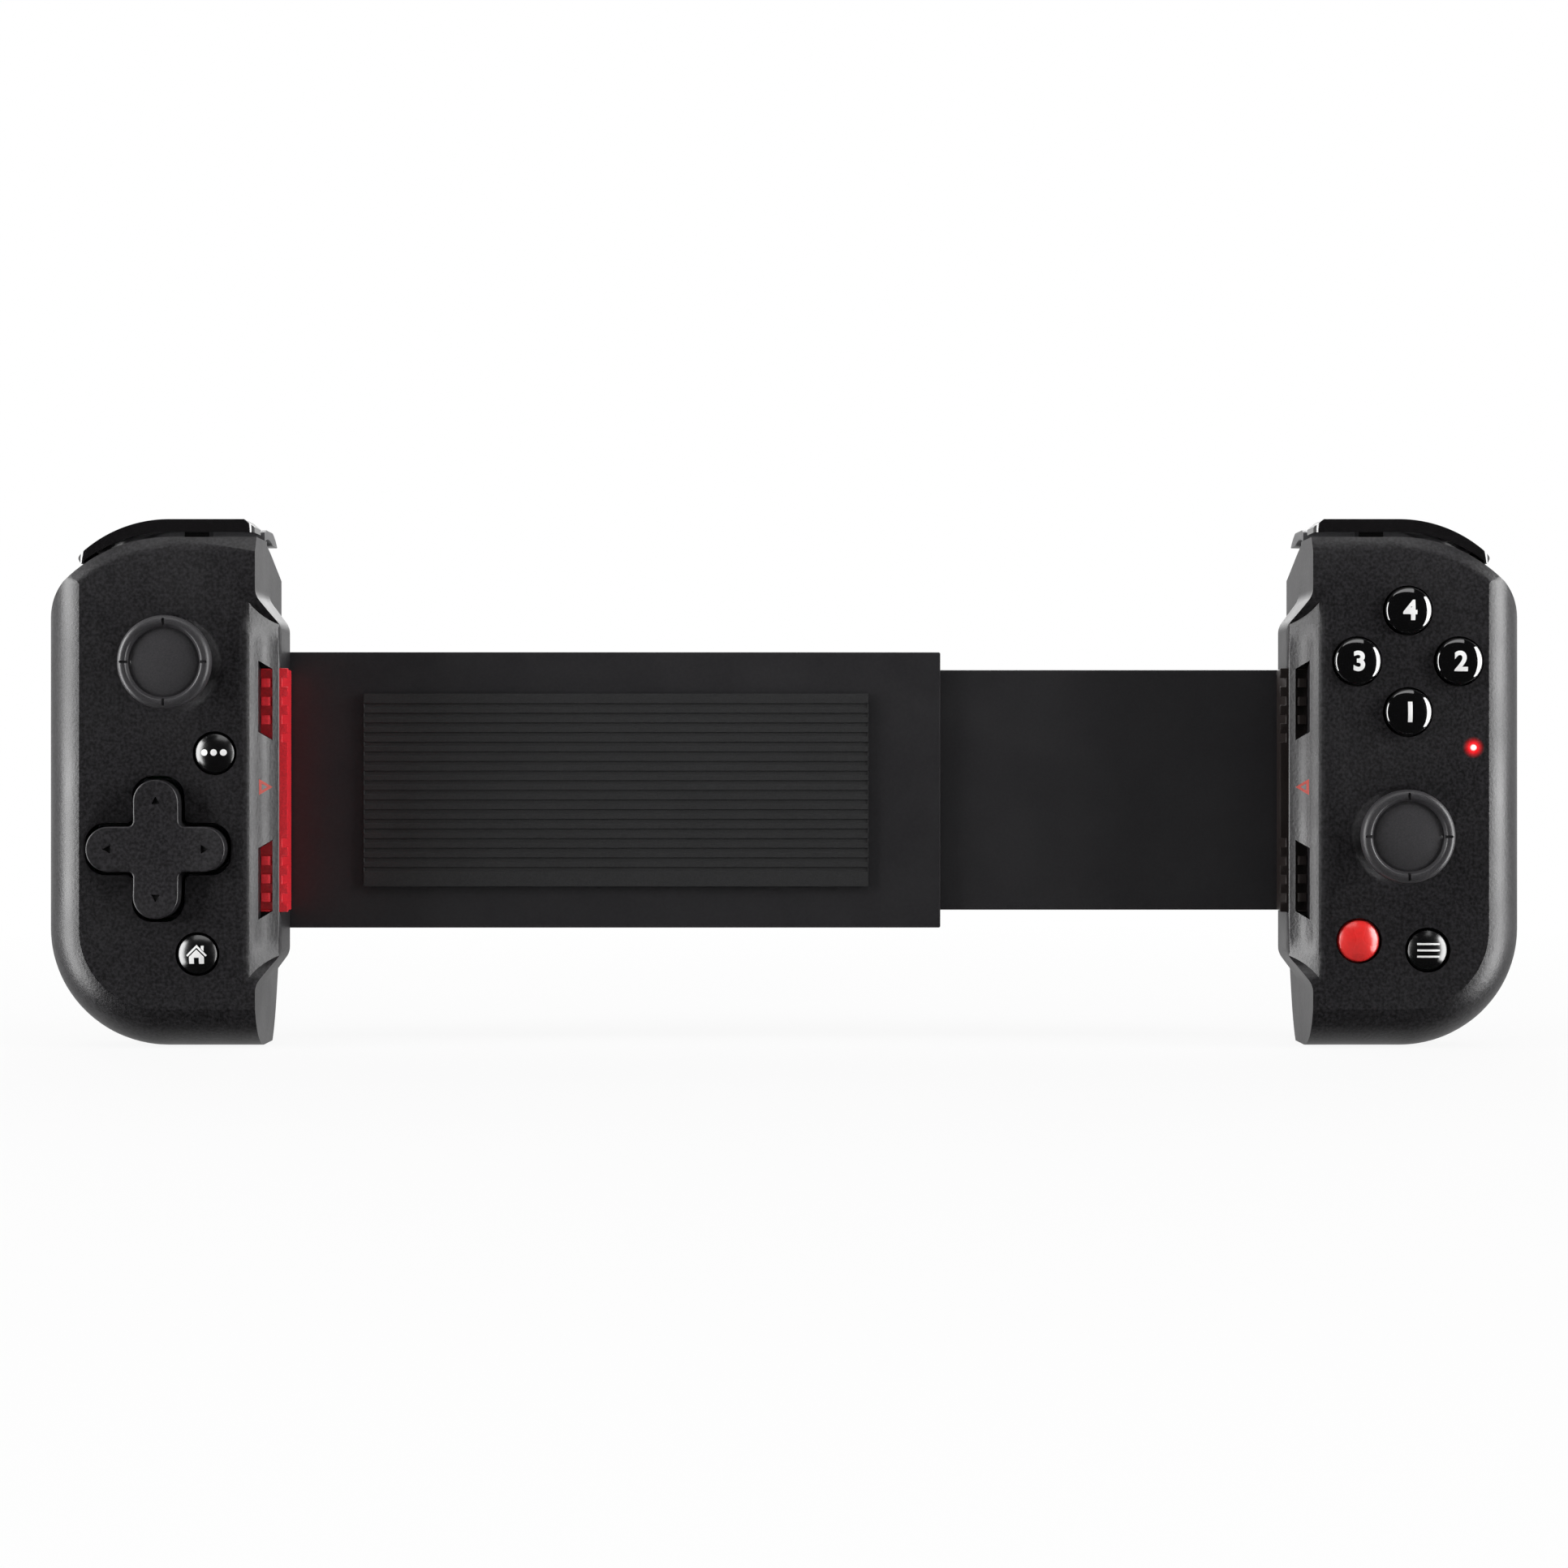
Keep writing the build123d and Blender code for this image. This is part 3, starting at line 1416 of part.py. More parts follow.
# Bridge
sleeve_front_half, sleeve_rear_half = sleeve_halves()
write("sleeve_front", [sleeve_front_half])
write("sleeve_rear", [sleeve_rear_half])
write("bridge_tongue", [tongue()])
write("back_rest_pad", [rest_pad()])
write("spring_drum", [spring_drum()])
write("spring_band", [spring_band()])
write("spring_pin", [spring_pin()])
write("flat_cable", [flat_cable()])
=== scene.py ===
import math

import bmesh
import bpy
from mathutils import Matrix, Vector
from mathutils.bvhtree import BVHTree


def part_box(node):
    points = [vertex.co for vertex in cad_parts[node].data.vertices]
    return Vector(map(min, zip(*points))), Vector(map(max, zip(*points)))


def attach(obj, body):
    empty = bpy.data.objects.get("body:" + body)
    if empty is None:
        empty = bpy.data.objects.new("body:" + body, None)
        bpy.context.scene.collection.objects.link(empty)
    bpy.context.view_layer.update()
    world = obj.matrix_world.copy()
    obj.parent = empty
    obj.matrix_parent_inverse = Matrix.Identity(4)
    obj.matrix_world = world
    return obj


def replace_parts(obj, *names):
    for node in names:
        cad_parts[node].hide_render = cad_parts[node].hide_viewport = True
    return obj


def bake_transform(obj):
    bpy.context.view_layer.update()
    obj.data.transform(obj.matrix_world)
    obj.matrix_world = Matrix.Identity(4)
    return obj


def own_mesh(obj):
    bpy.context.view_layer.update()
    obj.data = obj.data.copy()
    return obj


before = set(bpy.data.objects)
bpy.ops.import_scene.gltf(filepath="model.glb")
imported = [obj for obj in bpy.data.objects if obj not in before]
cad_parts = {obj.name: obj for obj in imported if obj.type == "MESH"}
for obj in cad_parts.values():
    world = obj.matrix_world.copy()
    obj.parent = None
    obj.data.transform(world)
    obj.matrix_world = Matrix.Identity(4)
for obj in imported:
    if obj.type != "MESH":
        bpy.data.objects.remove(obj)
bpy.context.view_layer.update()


# Rear shells
# Each grip is closed from behind by a half shell, injection moulded in charcoal ABS.
# Its skin is a fine matt spark texture, and its edges are barely broken.
mm = 0.001
weld_gap, sliver = 0.002 * mm, 0.001 * mm
coarse = 30
fine_spread, broad_spread = (0.35, 0.65), (0.3, 0.7)
bump_strength = 0.6
charcoal = (37, 36, 38)


def tone(red, green, blue, share=1.0):
    """A colour given as it is seen on a screen, as a shader takes it, lighter or darker by a share."""
    return tuple(min(1.0, (c / 255) ** 2.2 * share) for c in (red, green, blue)) + (1.0,)


def swept(tree, value, start, end, low=0.0, high=1.0):
    """A number that runs from low to high while a value runs from start to end."""
    node = tree.nodes.new("ShaderNodeMapRange")
    for name, number in zip(("From Min", "From Max", "To Min", "To Max"), (start, end, low, high)):
        node.inputs[name].default_value = number
    tree.links.new(value, node.inputs["Value"])
    return node.outputs["Result"]


def grained(
    name, colour, roughness, grain, relief, swing=0.15, gloss_swing=0.06, metallic=0.0, stretch=(1, 1, 1)
):
    """A moulded or brushed surface: its grain shifts the colour, the roughness and the height."""
    material = bpy.data.materials.new(name)
    material.use_nodes = True
    tree = material.node_tree
    nodes, links = tree.nodes, tree.links
    shader = nodes["Principled BSDF"]
    shader.inputs["Metallic"].default_value = metallic
    place = nodes.new("ShaderNodeTexCoord")
    lay = nodes.new("ShaderNodeMapping")
    lay.inputs["Scale"].default_value = stretch
    links.new(place.outputs["Object"], lay.inputs["Vector"])
    fine = nodes.new("ShaderNodeTexNoise")
    fine.inputs["Scale"].default_value = 1 / grain
    fine.inputs["Detail"].default_value = 3
    broad = nodes.new("ShaderNodeTexNoise")
    broad.inputs["Scale"].default_value = 1 / (grain * coarse)
    broad.inputs["Detail"].default_value = 2
    for noise in (fine, broad):
        links.new(lay.outputs["Vector"], noise.inputs["Vector"])
    tint = nodes.new("ShaderNodeMix")
    tint.data_type = "RGBA"
    tint.inputs["A"].default_value = tone(*colour, 1 - swing)
    tint.inputs["B"].default_value = tone(*colour, 1 + swing)
    links.new(swept(tree, fine.outputs["Fac"], *fine_spread), tint.inputs["Factor"])
    links.new(tint.outputs["Result"], shader.inputs["Base Color"])
    low, high = roughness - gloss_swing, roughness + gloss_swing
    polish = swept(tree, broad.outputs["Fac"], *broad_spread, low, high)
    links.new(polish, shader.inputs["Roughness"])
    if relief:
        bump = nodes.new("ShaderNodeBump")
        bump.inputs["Strength"].default_value = bump_strength
        bump.inputs["Distance"].default_value = relief
        links.new(fine.outputs["Fac"], bump.inputs["Height"])
        links.new(bump.outputs["Normal"], shader.inputs["Normal"])
    return material


def rounded(bm, geom, width, steps, affect="EDGES"):
    """Round the given edges, or the given corners of a flat face."""
    bmesh.ops.bevel(
        bm, geom=geom, offset=width, offset_type="OFFSET", segments=steps, profile=0.5,
        affect=affect, clamp_overlap=True, material=-1,
    )


def break_edges(bm, width, steps, least, choose=None):
    """Round every convex edge that is sharper than an angle in degrees."""
    sharp = [
        e for e in bm.edges
        if len(e.link_faces) == 2
        and e.calc_face_angle_signed(0) > math.radians(least)
        and (choose is None or choose(e))
    ]
    rounded(bm, sharp, width, steps)


def set_piece(bm, name, body, material, smooth=38, outward=True):
    """Turn a finished bmesh into a piece, smooth but for its sharp edges, that rides on its body if any."""
    if outward:
        bmesh.ops.recalc_face_normals(bm, faces=bm.faces)
    for face in bm.faces:
        face.smooth = True
    for edge in bm.edges:
        edge.smooth = len(edge.link_faces) == 2 and edge.calc_face_angle(0) < math.radians(smooth)
    mesh = bpy.data.meshes.new(name)
    bm.to_mesh(mesh)
    bm.free()
    mesh.materials.append(material)
    piece = bpy.data.objects.new(name, mesh)
    bpy.context.scene.collection.objects.link(piece)
    even = piece.modifiers.new("even_shading", "WEIGHTED_NORMAL")
    even.keep_sharp = True
    if body:
        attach(piece, body)
    return piece


def moulded_copy(node, width=0, least=50, choose=None):
    """A welded copy of a rigid solid, its flat faces whole again and its edges broken."""
    bm = bmesh.new()
    bm.from_mesh(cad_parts[node].data)
    bmesh.ops.remove_doubles(bm, verts=bm.verts, dist=weld_gap)
    bmesh.ops.dissolve_degenerate(bm, edges=bm.edges, dist=sliver)
    if width:
        break_edges(bm, width, steps=2, least=least, choose=choose)
    bmesh.ops.triangulate(bm, faces=[f for f in bm.faces if len(f.verts) > 4], ngon_method="BEAUTY")
    return bm


def moulded(node, name, body, slot, material, **edges):
    """A piece that is a moulded copy of a solid, shown in its place."""
    piece = set_piece(moulded_copy(node, **edges), name, body, material, outward=False)
    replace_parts(piece, node)
    return piece


charcoal_abs = grained("charcoal_abs", charcoal, 0.4, 0.5 * mm, 0.05 * mm, swing=0.6)
for side in ("left", "right"):
    moulded(side + "_rear_shell", side + "_grip_back", side + "_grip", "rear_shell", charcoal_abs)


# Bridge
# The sleeve is two moulded halves screwed into the left grip, and the tongue that slides in
# it is fixed in the right grip. Both are glass-filled nylon with a satin skin.
sleeve_edge, tongue_edge = 0.25 * mm, 0.2 * mm
satin_nylon = grained("satin_nylon", (44, 43, 45), 0.42, 0.35 * mm, 0.006 * mm, swing=0.1)
for half in ("front", "rear"):
    moulded(
        "sleeve_" + half, "sleeve_half_" + half, "left_grip", "bridge_plastic", satin_nylon, width=sleeve_edge
    )
moulded("bridge_tongue", "sliding_tongue", "right_grip", "bridge_plastic", satin_nylon, width=tongue_edge)


# Return spring and flat cable
# A rolled steel band pulls the grips together; its drum is acetal and turns on a steel pin.
# The cable is amber polyimide film laminated over copper tracks. Band and cable are held at
# both ends, and the length between follows the bridge as it closes and opens.
cut_tolerance = 1e-7
x_axis = (1, 0, 0)
cable_held = 78 * mm
band_start, band_end = -96 * mm, -26.6 * mm
strip_step = 2 * mm


def paint(node, material):
    """Give a solid that is shown as it is the finish of its real material."""
    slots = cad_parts[node].data.materials
    slots.clear()
    slots.append(material)


def cut_across(bm, axis, at):
    """Cut every face that crosses a plane square to an axis."""
    bmesh.ops.bisect_plane(
        bm, geom=bm.verts[:] + bm.edges[:] + bm.faces[:], dist=cut_tolerance,
        plane_co=Vector(axis) * at, plane_no=axis,
    )


def drawn_out(node, name, material, start, end):
    """A straight strip held by both grips, that gets shorter and longer as the bridge slides."""
    strip = moulded_copy(node)
    for count in range(int((end - start) / strip_step) + 1):
        cut_across(strip, x_axis, start + count * strip_step)
    piece = set_piece(strip, name, None, material, outward=False)
    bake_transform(piece)
    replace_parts(piece, node)


black_acetal = grained("black_acetal", (34, 34, 35), 0.45, 0.4 * mm, 0.004 * mm, swing=0.12)
drawn_steel = grained(
    "drawn_steel", (176, 177, 180), 0.3, 0.3 * mm, 0.003 * mm, swing=0.08, metallic=1.0, stretch=(1, 1, 12)
)
rolled_steel = grained(
    "rolled_steel", (168, 170, 175), 0.26, 0.3 * mm, 0.002 * mm, swing=0.08, metallic=1.0, stretch=(0.1, 1, 3)
)
polyimide = grained("polyimide", (150, 96, 38), 0.3, 0.6 * mm, 0.004 * mm, swing=0.2, stretch=(0.05, 1, 4))
paint("spring_drum", black_acetal)
paint("spring_pin", drawn_steel)
drawn_out("flat_cable", "cable_film", polyimide, -cable_held, cable_held)
drawn_out("spring_band", "spring_strip", rolled_steel, band_start, band_end)


# Back rest
# A thin rubber mat is glued on the front of the sleeve, moulded with fine lengthwise ribs,
# and keeps what lies in the bay from sliding and scratching.
z_axis = (0, 0, 1)
rib_pitch = 1.6 * mm
rib_rise = 0.18 * mm
rib_flank = 0.12 * mm


def block(low, high):
    """A bmesh block between two corners."""
    bm = bmesh.new()
    made = bmesh.ops.create_cube(bm, size=1.0)
    size = Vector(high) - Vector(low)
    bmesh.ops.scale(bm, vec=size, verts=made["verts"])
    bmesh.ops.translate(bm, vec=(Vector(low) + Vector(high)) / 2, verts=made["verts"])
    return bm


mat_rubber = grained("mat_rubber", (40, 40, 41), 0.7, 0.25 * mm, 0.01 * mm, swing=0.2)
mat_low, mat_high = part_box("back_rest_pad")
mat = block(mat_low, mat_high)
rib_count = int((mat_high.z - mat_low.z) / rib_pitch) - 1
first_rib = (mat_low.z + mat_high.z - rib_count * rib_pitch) / 2
for count in range(2 * rib_count + 1):
    cut_across(mat, z_axis, first_rib + count * rib_pitch / 2)
front = [f for f in mat.faces if f.normal.y < -0.9 and f.calc_center_median().z > first_rib]
for face in front:
    between = (face.calc_center_median().z - first_rib) / (rib_pitch / 2)
    if int(between) % 2 and between < 2 * rib_count:
        bmesh.ops.inset_individual(mat, faces=[face], thickness=rib_flank, depth=0)
        bmesh.ops.translate(mat, vec=(0, rib_rise, 0), verts=face.verts)
rest = set_piece(mat, "back_rest_mat", "left_grip", mat_rubber)
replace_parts(rest, "back_rest_pad")


# Charging port, its board and the battery
# The port is a deep-drawn steel shell soldered to a small board; the battery is a pouch cell
# in silvery laminate film, taped to the rear shell.
track_pitch = 2.2 * mm
track_inner, track_outer = 0.05, 0.09
cell_edge = 0.3 * mm


def laid_tracks(name, mask, copper, pitch):
    """A circuit board: solder mask over a net of tracks that show through it a little lighter."""
    material = grained(name, mask, 0.38, 0.5 * mm, 0.0, swing=0.1)
    tree = material.node_tree
    nodes, links = tree.nodes, tree.links
    shader = nodes["Principled BSDF"]
    place = nodes.new("ShaderNodeTexCoord")
    net = nodes.new("ShaderNodeTexVoronoi")
    net.feature = "DISTANCE_TO_EDGE"
    net.inputs["Scale"].default_value = 1 / pitch
    links.new(place.outputs["Object"], net.inputs["Vector"])
    line = swept(tree, net.outputs["Distance"], track_inner, track_outer, 1.0, 0.0)
    over = nodes.new("ShaderNodeMix")
    over.data_type = "RGBA"
    over.inputs["B"].default_value = tone(*copper)
    base = shader.inputs["Base Color"].links[0].from_socket
    links.new(base, over.inputs["A"])
    links.new(line, over.inputs["Factor"])
    links.new(over.outputs["Result"], shader.inputs["Base Color"])
    return material


green_board = laid_tracks("green_board", (24, 74, 46), (52, 112, 70), track_pitch)
laminate_film = grained("laminate_film", (132, 134, 138), 0.32, 1.4 * mm, 0.03 * mm, swing=0.1)
moulded("charging_port", "port_shell", "right_grip", "steel", drawn_steel)
paint("charging_board", green_board)
moulded("battery", "pouch_cell", "right_grip", "cell_wrap", laminate_film, width=cell_edge)


# Key boards, membranes and switches
# Each grip has a key board under its deck. Grey silicone sheets with a collapsing dome under
# each key lie on it, and a small click switch stands under the bumper.
silicone = grained("grey_silicone", (128, 130, 134), 0.6, 0.5 * mm, 0.006 * mm, swing=0.08)
for side in ("left", "right"):
    paint(side + "_key_board", green_board)
    paint(side + "_stick_board", green_board)
    paint(side + "_membranes", silicone)
    paint(side + "_bumper_switch", black_acetal)


# Stick modules
# A square acetal housing carries a yoke and a core on crossed shafts, and a drawn steel stem
# stands through the core.
stem_edge = 0.15 * mm
for side in ("left", "right"):
    for part in ("stick_housing", "stick_yoke", "stick_core"):
        paint(side + "_" + part, black_acetal)
    moulded(side + "_stick_stem", side + "_stem", side + "_stick", "steel", drawn_steel, width=stem_edge)


# Front shells
# The front half shells carry the decks. They are moulded in the same charcoal ABS; the crease
# round the deck is softly blended, and the rims of its holes are broken.
hair = 0.01 * mm
deck_y = -10.6 * mm
bay_z = 41.814 * mm
shell_edge, shell_least = 0.14 * mm, 55
shell_front = deck_y + 7 * mm
crease_round, crease_steps = 0.55 * mm, 4
crease_least, crease_most = 13, 28
light_u, light_z = 111.291 * mm, 48.686 * mm
light_near, light_reach = 0.5 * mm, 1.9 * mm
cheek_in, cheek_out = 81 * mm, 90 * mm
cheek_cuts = [82.4 + 0.4 * count for count in range(17)]
cheek_full, cheek_fades, cheek_past = 24 * mm, 27 * mm, 2 * mm
cheek_skin, cheek_under = 0.3, 1.6
moulded_cheek = [(88.844, 0), (86.429, 37.15), (82.2, 45.03)]
rounded_cheek = [(88.844, 0), (87.3, 18), (86.2, 40), (85.6, 52), (84.8, 50), (83.6, 36), (82.2, 31)]


def from_light(tree):
    """How far a point of a surface lies from the middle of the status light."""
    place = tree.nodes.new("ShaderNodeTexCoord")
    centre = tree.nodes.new("ShaderNodeMapping")
    centre.inputs["Location"].default_value = (-light_u, -deck_y, -light_z)
    far = tree.nodes.new("ShaderNodeVectorMath")
    far.operation = "LENGTH"
    tree.links.new(place.outputs["Object"], centre.inputs["Vector"])
    tree.links.new(centre.outputs["Vector"], far.inputs[0])
    return far.outputs["Value"]


def joined(tree, operation, first, second):
    """The sum, product or other join of two outputs, or of an output and a number."""
    node = tree.nodes.new("ShaderNodeMath")
    node.operation = operation
    for socket, value in zip(node.inputs, (first, second)):
        if isinstance(value, bpy.types.NodeSocket):
            tree.links.new(value, socket)
        else:
            socket.default_value = value
    return node.outputs["Value"]


def lit_round(material, colour, strength, fall):
    """Paint the status light's red glow into the plastic round it as emission, fading away from its middle.
    """
    tree = material.node_tree
    shader = tree.nodes["Principled BSDF"]
    shader.inputs["Emission Color"].default_value = tone(*colour)
    fade = swept(tree, from_light(tree), light_reach, light_near)
    level = joined(tree, "MULTIPLY", joined(tree, "POWER", fade, fall), strength)
    tree.links.new(level, shader.inputs["Emission Strength"])
    return material


def soft_crease(bm):
    """Blend the shallow crease where the deck turns into the round of the sides."""
    crease = [
        e for e in bm.edges
        if len(e.link_faces) == 2
        and math.radians(crease_least) < e.calc_face_angle_signed(0) < math.radians(crease_most)
        and max(v.co.y for v in e.verts) < deck_y + 2 * hair
    ]
    rounded(bm, crease, crease_round, crease_steps)


def slope_depth(u, bends):
    """Depth in millimetres of a slope made of arcs, from its place and tilt at each bend."""
    depth = 0
    for (u0, tilt0), (u1, tilt1) in zip(bends, bends[1:]):
        run = min(max(u0 - u, 0), u0 - u1)
        start, end = math.sin(math.radians(tilt0)), math.sin(math.radians(tilt1))
        turn = (u0 - u1) / (end - start)
        depth += turn * (math.sqrt(1 - start**2) - math.sqrt(1 - (start + run / turn) ** 2))
    return depth


def ease_cheek(bm, sign):
    """Round the cheek's slope further: steeper below the deck and flatter towards its lip."""
    cuts = [(x_axis, sign * u * mm) for u in cheek_cuts]
    for way in (-1, 1):
        for share in (0, 0.5, 1):
            cuts.append((z_axis, bay_z + way * (cheek_full + (cheek_fades - cheek_full) * share)))
    for axis, at in cuts:
        faces = []
        for face in bm.faces:
            middle = face.calc_center_median()
            beside = cheek_in < sign * middle.x < cheek_out and middle.y < shell_front
            if beside and abs(middle.z - bay_z) < cheek_fades + cheek_past:
                faces.append(face)
        edges = list({e for f in faces for e in f.edges})
        verts = list({v for f in faces for v in f.verts})
        bmesh.ops.bisect_plane(
            bm, geom=verts + edges + faces, dist=cut_tolerance, plane_co=Vector(axis) * at, plane_no=axis
        )
    for v in bm.verts:
        u = sign * v.co.x / mm
        if not moulded_cheek[-1][0] < u < moulded_cheek[0][0]:
            continue
        as_moulded = slope_depth(u, moulded_cheek)
        under = (v.co.y - deck_y) / mm - as_moulded
        along = (cheek_fades - abs(v.co.z - bay_z)) / (cheek_fades - cheek_full)
        skin = (cheek_under - under) / (cheek_under - cheek_skin)
        if under > -cheek_skin:
            share = min(max(along, 0), 1) * min(max(skin, 0), 1)
            v.co.y += share * (slope_depth(u, rounded_cheek) - as_moulded) * mm


fronts = {}
# The right shell's charcoal gets a painted red glow round the status light: emission that stands in for the
# lamp shining through the plastic.
painted_glow_abs = lit_round(charcoal_abs.copy(), (255, 20, 30), strength=1.6, fall=2.2)
for side, sign, finish in (("left", -1, charcoal_abs), ("right", 1, painted_glow_abs)):
    bm = moulded_copy(
        side + "_front_shell", shell_edge, shell_least, lambda e: min(v.co.y for v in e.verts) < shell_front
    )
    soft_crease(bm)
    ease_cheek(bm, sign)
    shell = set_piece(bm, side + "_grip_front", side + "_grip", finish, outward=False)
    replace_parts(shell, side + "_front_shell")
    fronts[side] = shell


# End pads
# Each end of the bay is lined with silicone rubber, coloured red on the left and dark brown on the right,
# with a row of teeth past the cheek's lip and ribs that show through the cheek's slots.
pad_round = 0.16 * mm
slot_in, slot_out = 83.34 * mm, 85.02 * mm
slot_start, slot_end = 9.4 * mm, 21.0 * mm
slot_skew = 1.3 * mm
slot_clear = 0.1 * mm
rib_first, rib_step, ribs_in_slot = 2.05 * mm, 3.0 * mm, 4
rib_half = 0.72 * mm
rib_back, rib_front = 4.55 * mm, 3.9 * mm
rib_round = 0.7 * mm


def gathered(whole, bm):
    """Put a bmesh into another one, and drop it."""
    made = bpy.data.meshes.new("gathered")
    bm.to_mesh(made)
    bm.free()
    whole.from_mesh(made)
    bpy.data.meshes.remove(made)


red_silicone = grained("red_silicone", (214, 40, 50), 0.38, 0.3 * mm, 0.006 * mm, swing=0.12)
dark_brown_silicone = grained("dark_brown_silicone", (30, 22, 20), 0.5, 0.3 * mm, 0.006 * mm, swing=0.15)
for side, sign, rubber, slot in (
    ("left", -1, red_silicone, "red_rubber"), ("right", 1, dark_brown_silicone, "rest_rubber"),
):
    moulded(side + "_phone_pad", side + "_end_pad", side + "_grip", slot, rubber, width=pad_round)
    ribs = bmesh.new()
    for way in (-1, 1):
        for count in range(ribs_in_slot):
            middle = slot_start + rib_first + count * rib_step
            low = max(middle - rib_half, slot_start + slot_clear)
            high = min(middle + rib_half, slot_end - slot_skew - slot_clear)
            ends = sorted((bay_z + way * low, bay_z + way * high))
            rib = block(
                (sign * slot_in, deck_y + rib_front, ends[0]), (sign * slot_out, deck_y + rib_back, ends[1])
            )
            bayward = [
                e for e in rib.edges
                if all(abs(abs(v.co.x) - slot_in) < hair for v in e.verts)
                and all(v.co.y < deck_y + rib_front + hair for v in e.verts)
            ]
            rounded(rib, bayward, rib_round, steps=4)
            bmesh.ops.recalc_face_normals(rib, faces=rib.faces)
            gathered(ribs, rib)
    set_piece(ribs, side + "_pad_ribs", side + "_grip", rubber, outward=False)


# Cheek marks
# A small open triangle is pad printed in salmon ink on the slope of each cheek. It points to
# the bay and shows where the middle of the bay is.
mark_in, mark_out = 83.2 * mm, 85.1 * mm
mark_z = bay_z + 0.5 * mm
mark_half = 1.3 * mm
mark_line = 0.36 * mm
ink_step = 0.3 * mm
ink_rise = 0.015 * mm
ink_thickness = 0.02 * mm
in_front = deck_y - 20 * mm


def as_film(bm, thickness):
    """Turn flat faces to the front and give them the thickness of a film."""
    for face in bm.faces:
        if face.normal.y > 0:
            face.normal_flip()
    bmesh.ops.solidify(bm, geom=bm.faces[:], thickness=thickness)


def inked(bm, ground, name, body, material):
    """Lay a flat outline, drawn in the front plane, on the surface behind it, as a film of ink."""
    span = [[min(v.co[i] for v in bm.verts), max(v.co[i] for v in bm.verts)] for i in (0, 2)]
    for axis, (low, high) in zip((x_axis, z_axis), span):
        for count in range(1, int((high - low) / ink_step) + 1):
            cut_across(bm, axis, low + count * ink_step)
    under = bmesh.new()
    under.from_mesh(ground.data)
    tree = BVHTree.FromBMesh(under)
    under.free()
    for v in bm.verts:
        hit = tree.ray_cast(Vector((v.co.x, in_front, v.co.z)), Vector((0, 1, 0)))[0]
        v.co.y = hit.y - ink_rise
    as_film(bm, ink_thickness)
    return set_piece(bm, name, body, material)


salmon_ink = grained("salmon_ink", (172, 72, 64), 0.7, 0.2 * mm, 0.0, swing=0.1)
corners = [(mark_out, mark_z + mark_half), (mark_out, mark_z - mark_half), (mark_in, mark_z)]
middle_u = sum(u for u, z in corners) / 3
inner_share = 1 - mark_line * 3 / (mark_out - mark_in)
for side, sign in (("left", -1), ("right", 1)):
    triangle = bmesh.new()
    rings = []
    for share in (1.0, inner_share):
        ring = []
        for u, z in corners:
            spot = (sign * (middle_u + (u - middle_u) * share), deck_y, mark_z + (z - mark_z) * share)
            ring.append(triangle.verts.new(spot))
        rings.append(ring)
    for count in range(3):
        after = (count + 1) % 3
        triangle.faces.new((rings[0][count], rings[0][after], rings[1][after], rings[1][count]))
    triangle.normal_update()
    inked(triangle, fronts[side], side + "_bay_mark", side + "_grip", salmon_ink)


# Direction pad
# A one-piece cross of near-black ABS with full round arm ends, slightly dished, and four
# small sunk triangles. It rocks on an acetal pivot plate over a seat on the key board.
pad_u, pad_z = -101.06 * mm, 32.292 * mm
pad_half = 11.2 * mm
pad_arm_half = 3.65 * mm
pad_end_round = 3.6 * mm
pad_corner_round = 0.9 * mm
pad_rise = 2.5 * mm
pad_under = 3.6 * mm
pad_edge = 0.3 * mm
pad_dish, dish_step = 0.75 * mm, 0.8 * mm
pad_face = deck_y - pad_rise
mark_reach = 7.7 * mm
mark_radius = 0.84 * mm
mark_depth = 0.4 * mm
mark_fill, mark_floor, mark_film = 0.93, 0.8, 0.1


def loose(bm, name):
    """A bmesh as a plain object, which is no piece of its own."""
    bmesh.ops.recalc_face_normals(bm, faces=bm.faces)
    mesh = bpy.data.meshes.new(name)
    bm.to_mesh(mesh)
    bm.free()
    made = bpy.data.objects.new(name, mesh)
    bpy.context.scene.collection.objects.link(made)
    return made


def shaped(bm, name, cutters):
    """The bmesh after the cutters have been taken out of it."""
    body = loose(bm, name)
    for cutter in cutters:
        cut = body.modifiers.new("cut", "BOOLEAN")
        cut.operation = "DIFFERENCE"
        cut.solver = "EXACT"
        cut.object = cutter
    bpy.context.view_layer.update()
    mesh = bpy.data.meshes.new_from_object(body.evaluated_get(bpy.context.evaluated_depsgraph_get()))
    for done in [body, *cutters]:
        bpy.data.objects.remove(done)
    carved = bmesh.new()
    carved.from_mesh(mesh)
    return carved


def drawn_deep(bm, vec):
    """Draw the faces of a flat bmesh out into a solid."""
    grown = bmesh.ops.extrude_face_region(bm, geom=bm.faces[:])
    bmesh.ops.translate(bm, vec=vec, verts=[v for v in grown["geom"] if isinstance(v, bmesh.types.BMVert)])


def inner_corners(bm):
    """The four corners of the cross where its arms meet."""
    return [
        v for v in bm.verts
        if abs(abs(v.co.x - pad_u) - pad_arm_half) + abs(abs(v.co.z - pad_z) - pad_arm_half) < hair
    ]


